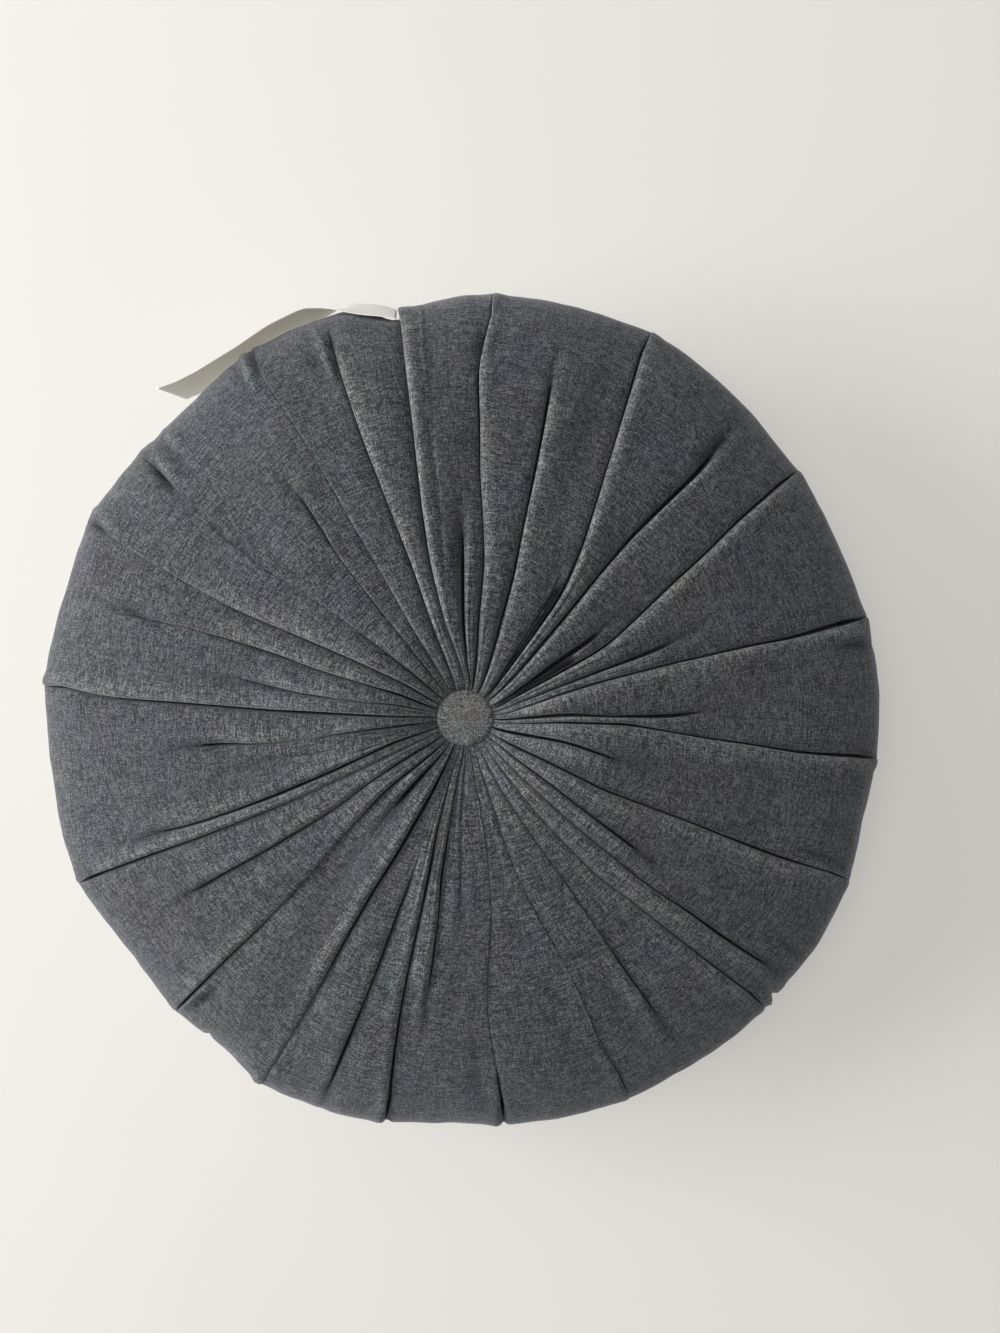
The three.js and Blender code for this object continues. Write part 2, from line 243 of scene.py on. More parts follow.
# The radius inside which nothing shows under the button, and the range of radii over which the
# middle of the face, where the folds crowd, passes into the rest.
UNDER_BUTTON = 8.0
MIDDLE_RANGE: Span = (50.0, 110.0)


@dataclass(frozen=True)
class Fold:
    """One fold of the cover.

    height is how far the clockwise panel's edge stands above the crease, trough the width of the
    hollow beside the crease, outer the radius outside which the fold runs out, and rim the
    outline's radius there. line is its angle at each of FOLD_RADII, as seen, and gape the width
    there to which the crease stands open. sunk is how deep the panel after it lies inside the
    radius sunk_outer.
    """

    height: float
    trough: float
    outer: float
    rim: float
    line: tuple[float, ...]
    gape: tuple[float, ...]
    sunk: float = 0.0
    sunk_outer: float = 0.0


FOLDS = (
    Fold(3.0, 4, 82, 200.6, (-2.6, -2.8, -2.2, -1.4, -0.6, -1.0, -1.2, 1.0, 8.5),
         (0, 0, 0, 0, 0.3, 1.6, 1.5, 1.0, 0.5)),
    Fold(2.6, 3, OVER_SIDE, 201.5, (3.7, 2.2, 2.8, 3.5, 5.2, 7.0, 7.9, 10.6, 13.8),
         (0.5, 0.9, 0.7, 0.4, 0.35, 0.6, 0.9, 1.0, 0.7)),
    Fold(2.4, 3, 156, 202.7, (14.2, 14.5, 15.2, 16.0, 17.0, 18.8, 20.6, 23.8, 27.3),
         (0, 1.2, 1.1, 0.9, 0.7, 0.9, 1.1, 1.1, 0.7)),
    Fold(1.2, 3, 76, 203.3, (20.5, 21.2, 23.0, 26.0, 31.0, 35.0, 36.6, 39.2, 43.3),
         (0, 0, 0, 0, 0.2, 0.6, 0.5, 0.4, 0.2), 3.2, 76),
    Fold(4.2, 4, OVER_SIDE, 203.6, (25.8, 27.5, 29.3, 31.7, 35.0, 38.0, 39.8, 42.3, 46.3),
         (1, 0.5, 0.4, 0.5, 0.7, 1.1, 0.8, 0.7, 0.4)),
    Fold(3.2, 3, 168, 198.9, (42.5, 43.4, 43.0, 42.7, 43.2, 44.5, 46.6, 50.2, 53.8),
         (0, 2.4, 2.2, 1.5, 0.9, 1.0, 1.0, 0.8, 0.5)),
    Fold(1.3, 5, 74, 198.1, (48.5, 49.5, 50.0, 51.5, 54.5, 57.9, 59.2, 62.0, 66.3),
         (0, 0, 0, 0, 0.3, 1.7, 1.8, 1.2, 0.5), 2.8, 60),
    Fold(4.2, 4, OVER_SIDE, 198.5, (53.4, 54.2, 55.6, 57.2, 60.0, 63.3, 64.8, 66.6, 71.5),
         (1.3, 0.9, 0.7, 0.6, 0.6, 0.7, 0.72, 0.8, 0.4)),
    Fold(2.2, 3, 100, 195.3, (65.5, 66.5, 67.5, 69.3, 70.5, 70.9, 71.7, 73.8, 77.6),
         (0, 0, 0, 0.5, 1.4, 0.9, 0.56, 0.4, 0.24)),
    Fold(3.4, 3, OVER_SIDE, 198.1, (75.9, 76.2, 75.8, 75.6, 75.3, 75.2, 76.3, 79.8, 85.5),
         (2.3, 1.3, 0.9, 0.6, 0.6, 0.6, 0.56, 0.4, 0.24)),
    Fold(2.4, 3, 106, 197.6, (86.0, 86.5, 87.2, 88.4, 89.6, 89.6, 88.5, 89.9, 93.2),
         (0, 0, 0, 1, 1.5, 0.7, 1.3, 1.1, 0.6)),
    Fold(3.6, 3, OVER_SIDE, 198.0, (95.6, 95.9, 95.4, 94.9, 93.7, 92.3, 92.7, 95.2, 99.0),
         (1.5, 0.9, 0.6, 0.5, 0.5, 0.9, 0.72, 0.4, 0.24)),
    Fold(2.8, 4, 70, 195.9, (104.5, 105.3, 105.6, 105.8, 105.9, 105.4, 104.0, 105.9, 109.3),
         (0, 0, 0, 0, 0, 0.9, 1.1, 1.2, 0.9)),
    Fold(3.0, 4, OVER_SIDE, 198.7, (112.9, 114.0, 114.5, 115.0, 116.1, 117.6, 118.1, 119.6, 121.3),
         (0.6, 1, 0.7, 0.5, 0.5, 0.6, 0.72, 0.8, 0.32)),
    Fold(1.8, 3, 100, 200.5, (124.4, 125.6, 126.4, 127.3, 127.7, 128.0, 128.1, 128.8, 129.0),
         (0, 0, 0, 0.2, 0.9, 0.5, 0.56, 0.48, 0.32)),
    Fold(2.9, 3, 182, 200.8, (129.2, 130.4, 131.1, 132.5, 133.5, 134.7, 136.0, 137.0, 137.2),
         (0.6, 1.3, 0.7, 0.35, 0.3, 0.25, 0.15, 0.1, 0.1)),
    Fold(2.5, 3, OVER_SIDE, 201.0, (134.0, 135.2, 136.4, 137.8, 140.4, 141.8, 143.8, 144.5, 144.8),
         (0.8, 0.5, 0.35, 0.25, 0.2, 0.15, 0.1, 0.1, 0.1)),
    Fold(2.3, 3, 160, 199.8, (146.0, 147.2, 147.7, 148.0, 148.6, 150.0, 152.0, 154.0, 154.6),
         (0, 0.5, 0.5, 0.1, 0.2, 0.1, 0.1, 0.1, 0.1)),
    Fold(2.4, 4, OVER_SIDE, 200.4, (156.6, 157.4, 157.5, 158.5, 160.3, 162.0, 162.9, 162.8, 163.2),
         (0.4, 0.15, 0.1, 0.1, 0.1, 0.1, 0.1, 0.1, 0.1)),
    Fold(1.3, 5, OVER_SIDE, 197.3, (174.5, 175.0, 175.6, 174.6, 172.4, 171.2, 170.6, 170.6, 171.0),
         (1.6, 0.15, 0.1, 0.1, 0.1, 0.1, 0.12, 0.18, 0.12)),
    Fold(1.2, 4, 80, 195.6, (180.2, 181.0, 181.6, 181.3, 181.3, 181.5, 182.2, 182.0, 178.6),
         (0, 0, 0, 0.1, 0.15, 0.15, 0.12, 0.18, 0.12)),
    Fold(2.2, 3, 132, 197.1, (186.0, 187.2, 187.8, 187.6, 187.7, 188.5, 188.2, 187.0, 184.0),
         (0, 0, 0, 0.6, 0.4, 0.8, 0.36, 0.36, 0.18)),
    Fold(2.8, 3, OVER_SIDE, 198.4, (191.2, 192.0, 192.5, 192.7, 192.8, 193.1, 194.0, 193.9, 190.0),
         (1.6, 0.9, 0.7, 0.6, 0.6, 0.9, 0.48, 0.3, 0.18)),
    Fold(1.6, 3, 184, 200.9, (200.3, 199.9, 199.5, 199.2, 199.0, 198.6, 198.8, 198.3, 195.8),
         (0.4, 1.5, 0.7, 0.8, 0.7, 0.2, 0, 0.06, 0.06)),
    Fold(3.2, 4, OVER_SIDE, 202.4, (209.0, 208.6, 208.4, 208.3, 207.9, 206.6, 205.0, 202.8, 201.3),
         (0.2, 0.25, 0.4, 0.8, 1, 1.3, 1.3, 1.3, 0.9)),
    Fold(3.4, 4, 47, 197.4, (217.0, 216.6, 216.4, 216.4, 216.8, 217.6, 218.0, 216.0, 211.5),
         (0, 0, 0, 0, 0, 0.2, 1.7, 1.2, 0.4)),
    Fold(2.2, 3, OVER_SIDE, 198.3, (224.7, 224.7, 224.4, 224.5, 225.2, 226.3, 227.3, 225.0, 220.5),
         (0.9, 0.6, 0.4, 0.15, 0.1, 0.2, 0.8, 0.9, 0.5)),
    Fold(2.4, 3, 146, 197.9, (236.4, 237.6, 237.2, 236.5, 235.8, 235.2, 236.0, 235.2, 232.4),
         (0, 0.1, 0.9, 0.8, 0.7, 0.4, 0.5, 0.9, 0.5)),
    Fold(2.4, 3, OVER_SIDE, 203.4, (246.9, 246.4, 245.8, 245.2, 244.6, 244.2, 243.8, 243.2, 242.2),
         (1.2, 1.1, 0.8, 0.5, 0.4, 0.15, 0.12, 0.3, 0.18)),
    Fold(3.2, 3, 146, 202.3, (251.6, 250.0, 248.7, 248.1, 247.8, 248.0, 249.2, 250.8, 250.6),
         (0, 0.2, 1.1, 0.9, 1.1, 1, 0.9, 1.2, 0.9)),
    Fold(1.4, 4, 92, 201.1, (258.4, 258.4, 258.4, 258.4, 258.2, 256.9, 256.4, 256.6, 256.6),
         (0, 0, 0, 0, 0.1, 0.15, 0.09, 0.18, 0.12)),
    Fold(2.4, 3, 120, 201.3, (266.2, 265.4, 264.3, 263.9, 262.7, 262.4, 262.9, 262.9, 262.4),
         (0, 0, 0.3, 1.2, 0.4, 0.1, 0.6, 0.9, 0.5)),
    Fold(3.8, 3, OVER_SIDE, 203.2, (274.4, 273.2, 273.0, 272.7, 272.2, 271.9, 271.5, 271.0, 271.2),
         (0.8, 0.9, 1.1, 1.2, 1.2, 1.4, 1.1, 0.9, 0.6)),
    Fold(2.2, 3, 98, 201.3, (281.0, 280.6, 280.4, 280.1, 279.4, 278.4, 278.8, 280.8, 280.2),
         (0, 0, 0, 0.3, 0.4, 0.6, 0.3, 0.54, 0.24)),
    Fold(1.8, 4, 158, 201.8, (287.4, 287.2, 288.0, 288.4, 288.5, 288.1, 288.6, 289.2, 287.6),
         (0, 0.4, 0.2, 0.4, 0.7, 0.5, 0.6, 1.1, 0.8)),
    Fold(2.8, 3, OVER_SIDE, 204.1, (297.3, 296.4, 295.8, 295.3, 295.9, 296.7, 298.1, 299.0, 298.0),
         (0.15, 0.1, 0.15, 0.3, 0.3, 0.5, 0.5, 0.9, 0.6)),
    Fold(1.6, 4, OVER_SIDE, 200.1, (309.0, 308.0, 306.9, 306.8, 307.8, 309.0, 309.8, 310.0, 309.6),
         (0.15, 0.15, 0.25, 0.25, 0.15, 0.15, 0.3, 0.8, 0.6)),
    Fold(1.1, 3, 124, 200.1, (320.0, 321.8, 323.4, 323.0, 322.0, 321.8, 321.8, 322.0, 321.6),
         (0, 0, 0.2, 0.7, 0.3, 0.3, 0.24, 0.42, 0.24)),
    Fold(1.6, 3, OVER_SIDE, 203.9, (329.2, 329.6, 329.9, 330.0, 329.8, 330.0, 329.8, 330.2, 331.4),
         (0.1, 0.06, 0.1, 0.25, 0.2, 0.15, 0.2, 0.3, 0.24)),
    Fold(1.9, 3, 190, 202.8, (340.5, 340.0, 339.8, 340.0, 340.3, 340.7, 340.6, 341.6, 343.2),
         (0.4, 0.35, 0.4, 0.35, 0.4, 0.5, 0.48, 0.54, 0.24)),
    Fold(6.0, 8, OVER_SIDE, 196.4, (350.7, 350.2, 349.7, 348.9, 347.9, 347.2, 348.0, 353.2, 360.6),
         (0.3, 0.4, 0.55, 0.8, 1, 0.6, 0.3, 0.12, 0.06)),
)
# The side seam lies in the last fold's crease, and the cloth before it stands lower at the rim.
SEAM = len(FOLDS) - 1
SEAM_STEP = 4.8
SEAM_REACH = 12.0
# Corners that the outline has between folds: angle and radius.
BETWEEN_FOLDS = ((344.6, 202.8),)


@dataclass(frozen=True)
class Tuck:
    """A small ridge or hollow in the cloth.

    It is a rounded hump, height high at its middle, that falls off over along outwards and over
    across sideways. A negative height is a hollow. Its line turns by lean degrees for each
    millimetre outwards from its middle, and its angle is as seen.
    """

    angle: float
    radius: float
    along: float
    across: float
    height: float
    lean: float = 0.0


TUCKS = (
    Tuck(2.4, 171, 8, 1.8, -1.5, 0.03),
    Tuck(3.5, 176, 11, 1.3, 1.1, 0.03),
    Tuck(22.5, 128, 42, 7.0, -1.1),
    Tuck(42.8, 166, 9, 2.8, -1.3),
    Tuck(77.6, 183, 11, 1.7, 1.5, 0.02),
    Tuck(79.5, 186, 10, 2.4, -2.6, 0.03),
    Tuck(94.7, 187, 7, 1.8, -1.3),
    Tuck(97.6, 192, 7, 1.8, -0.9),
    Tuck(111.2, 176, 14, 2.2, -1.5),
    Tuck(112.6, 178, 12, 1.4, 1.7, -0.02),
    Tuck(125.2, 183, 9, 2.0, -1.4),
    Tuck(131.9, 196, 7, 1.4, -2.4),
    Tuck(133.0, 195, 7, 1.6, 1.6),
    Tuck(174.6, 193, 9, 1.6, -2.6),
    Tuck(191.0, 195, 7, 1.8, -1.8),
    Tuck(208.2, 178, 13, 1.2, 1.0),
    Tuck(210.0, 194, 7, 2.4, 1.3),
    Tuck(218.8, 197, 6, 1.6, -1.6),
    Tuck(222.8, 177, 9, 2.4, -1.8, 0.03),
    Tuck(224.0, 179, 11, 1.4, 1.5, 0.03),
    Tuck(247.8, 191, 7, 1.6, -1.5, 0.04),
    Tuck(275.2, 190, 10, 2.2, 1.3),
    Tuck(286.4, 162, 11, 1.4, 1.6),
    Tuck(287.9, 156, 8, 2.2, -2.0),
    Tuck(297.5, 189, 6.5, 1.8, -2.8, 0.03),
    Tuck(299.1, 189, 9, 1.8, 2.4, 0.04),
    Tuck(308.5, 177, 10, 1.8, -3.4, 0.05),
    Tuck(310.0, 179, 13, 1.6, 2.8, 0.06),
    Tuck(312.2, 184, 9, 2.2, -1.4),
    Tuck(313.8, 186, 9, 1.7, 1.8),
    Tuck(326.6, 188, 9, 1.7, -1.2, 0.03),
    Tuck(328.1, 189, 10, 1.5, 2.4, 0.03),
    Tuck(329.5, 192, 7, 1.4, -2.2, 0.03),
    Tuck(337.6, 177, 12, 1.7, -1.2),
    Tuck(339.0, 178, 13, 1.5, 2.2),
    Tuck(340.3, 178, 10, 1.3, -1.8, 0.05),
)


# What a fold leaves where it runs out on the face: a hollow in line with it and a ridge beside
# it. Here the angle is millimetres along the ring from the fold's line, the radius is counted
# from the fold's outer end, and the height is a multiple of TAIL_SHARE of the fold's.
TAILS = (Tuck(-0.8, 0, 14, 2.6, -1.3), Tuck(3.6, -4, 15, 2.4, 1.0))
TAIL_SHARE = 0.35
TAIL_LIMIT = 186.0


def tails() -> list[Tuck]:
    """The hollow and the ridge of every fold that ends inside TAIL_LIMIT, each set at its end.

    Returns:
        Two tucks for each such fold.
    """
    found = []
    for fold in FOLDS:
        if fold.outer < TAIL_LIMIT:
            angle = float(np.interp(fold.outer, FOLD_RADII[::-1], fold.line[::-1]))
            millimetre = math.degrees(1.0 / fold.outer)
            size = TAIL_SHARE * fold.height
            found += [
                Tuck(
                    angle=angle + tail.angle * millimetre,
                    radius=fold.outer + tail.radius,
                    along=tail.along,
                    across=tail.across,
                    height=tail.height * size,
                )
                for tail in TAILS
            ]
    return found


@dataclass(frozen=True)
class Section:
    """The pillow's section from the button axis to the rim, and back again under it."""

    rim: float = 200.0
    half_height: float = 50.0
    crown: float = 115.0
    tuft_depth: float = 15.0
    tuft_width: float = 27.0
    tuft_sharpness: float = 1.6
    droop: float = 22.0
    droop_from: float = 45.0
    droop_power: float = 1.1
    rest_inner: float = 95.0
    rest_outer: float = 140.0
    back_tuft_depth: float = 12.0
    back_tuft_power: float = 1.9
    seat: float = 13.0
    seat_height: float = 33.2
    seat_inside: float = 2.2
    seat_outside: float = 1.4
    dip: float = 1.6
    dip_radius: float = 26.0

    def face_height(self, radius: Array) -> Array:
        """Height of the face: an ellipse's quarter past the crown, less two hollows.

        The tuft's is its depth times e to the minus power of the radius over its width. The
        droop grows outwards with a power, and both run out at the rim.

        Args:
            radius: Distance from the button axis.

        Returns:
            Heights above mid-height.
        """
        outward = np.clip((radius - self.crown) / (self.rim - self.crown), 0.0, 1.0)
        tuft = self.tuft_depth * np.exp(-((radius / self.tuft_width) ** self.tuft_sharpness))
        share = np.clip((radius - self.droop_from) / (self.rim - self.droop_from), 0.0, 1.0)
        hollow = tuft + self.droop * share**self.droop_power
        return self.half_height * np.sqrt(1 - outward**2) - hollow * (1 - outward**2)

    def back_depth(self, radius: Array) -> Array:
        """Depth of the back: an ellipse's quarter, a flat ring to rest on, and its own tuft.

        Args:
            radius: Distance from the button axis.

        Returns:
            Depths below mid-height.
        """
        outward = np.clip((radius - self.rest_outer) / (self.rim - self.rest_outer), 0.0, 1.0)
        inward = np.clip((self.rest_inner - radius) / (self.rest_inner - self.seat), 0.0, 1.0)
        side = self.half_height * np.sqrt(1 - outward**2)
        return side - self.back_tuft_depth * inward**self.back_tuft_power

    def under_button(self, radius: Array, height: Array) -> Array:
        """Height drawn down round a button, and level at the seat under it.

        Args:
            radius: Distance from the button axis.
            height: Height or depth of the face there.

        Returns:
            Heights or depths from mid-height.
        """
        drawn = height - self.dip * (1 - smoothstep(radius, self.seat, self.dip_radius))
        inside, outside = self.seat - self.seat_inside, self.seat + self.seat_outside
        return lerp(self.seat_height, drawn, smoothstep(radius, inside, outside))


def quarter_turn(rings: int) -> Array:
    """Even steps from 0 to 90 degrees, in radians and without the first."""
    return np.radians(np.linspace(0, 90, rings)[1:])


# Rings under a button, as shares of its seat, and the radius at which a face's rings start.
SEAT_SHARES = (0.35, 0.65, 0.82, 0.92, 0.99, 1.05)
FACE_START = 14.4
# Counts of rings over each part of the section, and the powers that crowd them to a button.
FACE_RINGS, SIDE_RINGS, UNDER_RINGS, REST_RINGS, TUFT_RINGS = 46, 38, 17, 6, 18
FACE_CROWDING, TUFT_CROWDING = 1.35, 1.25


@dataclass(frozen=True)
class Stations:
    """Rings of the section, from the front seat over the side to the back seat."""

    radius: Array
    height: Array
    outward: Array
    upward: Array
    length: Array
    front: Array

    @classmethod
    def along(cls, section: Section) -> "Stations":
        """Stations close together at the buttons and over the side.

        The radii are spread by a power near a button, evenly over a face, and by even turns of
        the ellipse over the side. The facing at each station is square to its neighbours' chord.

        Args:
            section: The section to follow.

        Returns:
            Radii, heights, facings, and lengths along the section.
        """
        seat = section.seat * np.array(SEAT_SHARES)
        outwards = np.linspace(0, 1, FACE_RINGS) ** FACE_CROWDING
        face = FACE_START + (section.crown - FACE_START) * outwards
        side = section.rim - section.crown
        over = section.crown + side * np.sin(quarter_turn(SIDE_RINGS))
        underside = section.rim - section.rest_outer
        under = section.rest_outer + underside * np.cos(quarter_turn(UNDER_RINGS))
        rest = np.linspace(section.rest_outer, section.rest_inner, REST_RINGS)[1:]
        inwards = np.linspace(1, 0, TUFT_RINGS)[1:] ** TUFT_CROWDING
        tuft = FACE_START + (section.rest_inner - FACE_START) * inwards
        front_radius = np.concatenate([seat, face, over])
        back_radius = np.concatenate([under, rest, tuft, seat[::-1]])
        front_height = section.under_button(front_radius, section.face_height(front_radius))
        back_height = -section.under_button(back_radius, section.back_depth(back_radius))
        radius = np.concatenate([front_radius, back_radius])
        height = np.concatenate([front_height, back_height])
        run, rise = np.gradient(radius), np.gradient(height)
        size = np.hypot(run, rise)
        steps = np.hypot(np.diff(radius), np.diff(height))
        front = np.arange(len(radius)) < len(front_radius)
        return cls(
            radius=radius,
            height=height,
            outward=-rise / size,
            upward=run / size,
            length=np.concatenate([[0.0], np.cumsum(steps)]),
            front=front,
        )


@dataclass(frozen=True)
class FoldLines:
    """Where each fold's line runs at every station, and how high the fold is there."""

    section: Section
    viewpoint: tuple[float, float, float] = (15.7, 23.1, 486.0)
    button_level: float = 37.0
    fade: float = 12.0
    fade_share: float = 0.2
    fade_inside: float = 1.6
    fade_outside: float = 0.3
    gather_radius: float = 24.0
    gathered_share: float = 0.6
    side_range: Span = (172.0, 198.0)
    side_share: float = 0.3
    closed_share: float = 0.36
    full_gape: float = 0.7
    inner_gape: float = 1.3
    inner_height: float = 1.3
    least_gape: float = 0.38
    least_range: Span = (30.0, 110.0)
    opening_range: Span = (0.15, 0.6)
    rim_range: Span = (187.0, 198.5)
    rim_closing: float = 0.9
    back_gape: float = 0.4
    back_range: Span = (180.0, 197.0)
    back_closing: float = 0.8
    button_range: Span = (9.0, 16.0)
    low_range: Span = (-24.0, -2.0)
    rounding: tuple[float, ...] = (-2.4, -0.8, 0.8, 2.4)

    def true_angle(self, angle: Array, radius: Array) -> Array:
        """Angle at which a line seen at an angle truly lies.

        Cloth above the button's level is nearer to the viewpoint and seems to stand further from
        it. The share of that is the height over the viewpoint's own, and the line is moved back
        by it, sideways and outwards.

        Args:
            angle: Angles as seen.
            radius: Radii of the points.

        Returns:
            True angles.
        """
        across, up, distance = self.viewpoint
        above = self.section.face_height(radius) - self.button_level
        lean = above / (distance - self.button_level)
        turn = np.radians(angle)
        sideways = lean * (across * np.cos(turn) - up * np.sin(turn))
        outwards = lean * (across * np.sin(turn) + up * np.cos(turn))
        return angle + np.degrees(np.arctan2(sideways, radius + outwards))

    def angles(self, stations: Stations) -> Array:
        """Angle of every fold at every station.

        On the front it is the smooth curve through the fold's line, moved to its true place. On
        the back it runs on from the side to an even place at the button.

        Args:
            stations: The stations of the section.

        Returns:
            An array of stations by folds.
        """
        knots = np.array(FOLD_RADII[::-1], float)
        seen = np.array([fold.line[::-1] for fold in FOLDS], float)
        radius = stations.radius
        front = self.true_angle(curve_through(knots, seen, radius).T, radius[:, None])
        side = self.true_angle(seen[:, -1], np.full(len(FOLDS), self.section.rim))
        even = FOLDS[0].line[0] + 360.0 * np.arange(len(FOLDS)) / len(FOLDS)
        share = 1 - smoothstep(radius, 14.0, self.section.rim)
        back = lerp(side[None, :], even[None, :], share[:, None])
        return np.where(stations.front[:, None], front, back)

    def heights(self, stations: Stations) -> Array:
        """Height of every fold at every station.

        It is the fold's own height times a share for each of these: it runs out at its outer
        end, is low where its crease is closed, is raised towards the middle of the face, is
        lower over the side, is gathered low round the button and ends under it.

        Args:
            stations: The stations of the section.

        Returns:
            An array of stations by folds.
        """
        height = np.array([fold.height for fold in FOLDS])
        outer = np.array([fold.outer for fold in FOLDS])
        radius = stations.radius[:, None]
        fade = np.minimum(self.fade, self.fade_share * outer)
        inside, outside = outer - self.fade_inside * fade, outer + self.fade_outside * fade
        reach = 1 - smoothstep(radius, inside, outside)
        gather = smoothstep(radius, self.section.seat, self.gather_radius)
        seated = smoothstep(radius, UNDER_BUTTON, self.section.seat)
        side = 1 - (1 - self.side_share) * smoothstep(radius, *self.side_range)
        opened = np.minimum(1.0, self.gapes(stations) / self.full_gape)
        strength = lerp(self.closed_share, 1.0, opened)
        strength = strength * lerp(self.inner_height, 1.0, smoothstep(radius, *MIDDLE_RANGE))
        return height * reach * strength * seated * side * lerp(self.gathered_share, 1.0, gather)

    def gapes(self, stations: Stations) -> Array:
        """How wide every fold's crease stands open at every station.

        On the front it is the smooth curve through the fold's own widths, wider towards the
        middle of the face, plus a least width where the fold is open at all, and it closes at
        the rim. On the back it is one width, which closes at the rim too. Both end under the
        button.

        Args:
            stations: The stations of the section.

        Returns:
            An array of stations by folds.
        """
        knots = np.array(FOLD_RADII[::-1], float)
        widths = np.array([fold.gape[::-1] for fold in FOLDS], float)
        radius = stations.radius[:, None]
        front = np.maximum(curve_through(knots, widths, stations.radius).T, 0.0)
        back = np.full_like(front, self.back_gape)
        back = back * (1 - self.back_closing * smoothstep(radius, *self.back_range))
        opened = lerp(self.inner_gape, 1.0, smoothstep(radius, *MIDDLE_RANGE))
        least = self.least_gape * smoothstep(radius, *self.least_range)
        front = front * opened + least * smoothstep(front, *self.opening_range)
        front = front * (1 - self.rim_closing * smoothstep(radius, *self.rim_range))
        width = np.where(stations.front[:, None], front, back)
        return width * smoothstep(radius, *self.button_range)

    def tucks(self, stations: Stations, angle: Array) -> Array:
        """Summed height of the small ridges and hollows: each one's bell outwards times its bell
        sideways, fading out below mid-height.

        Args:
            stations: The stations of the section.
            angle: True angles of the points, stations first.

        Returns:
            Heights, in the shape of the angles.
        """
        radius = stations.radius.reshape(-1, *[1] * (angle.ndim - 1))
        low = smoothstep(stations.height, *self.low_range).reshape(radius.shape)
        total = np.zeros_like(angle)
        for tuck in (*TUCKS, *tails()):
            middle = self.true_angle(tuck.angle + tuck.lean * (radius - tuck.radius), radius)
            apart = np.radians((angle - middle + 180.0) % 360.0 - 180.0) * radius
            outward = bell(radius, tuck.radius, tuck.along)
            total += tuck.height * outward * bell(apart, 0.0, tuck.across)
        return total * low

    def outline(self, angle: Array) -> Array:
        """Outline's radius at an angle: straight between the corners at the folds and those
        between them, and the mean over four turns near the angle, which rounds the corners.

        Args:
            angle: True angles.

        Returns:
            Radii, in the shape of the angles.
        """
        corners = [(fold.line[0], fold.rim) for fold in FOLDS]
        places, rims = np.array([*corners, *BETWEEN_FOLDS]).T
        near = [np.interp(angle + turn, places, rims, period=360.0) for turn in self.rounding]
        return sum(near) / len(near)


# Finishes.

# How rough the clouds are, and the range about one half in which most of their values lie.
CLOUD_ROUGHNESS = 0.6
MIDDLE_OF_CLOUDS: Span = (0.3, 0.7)


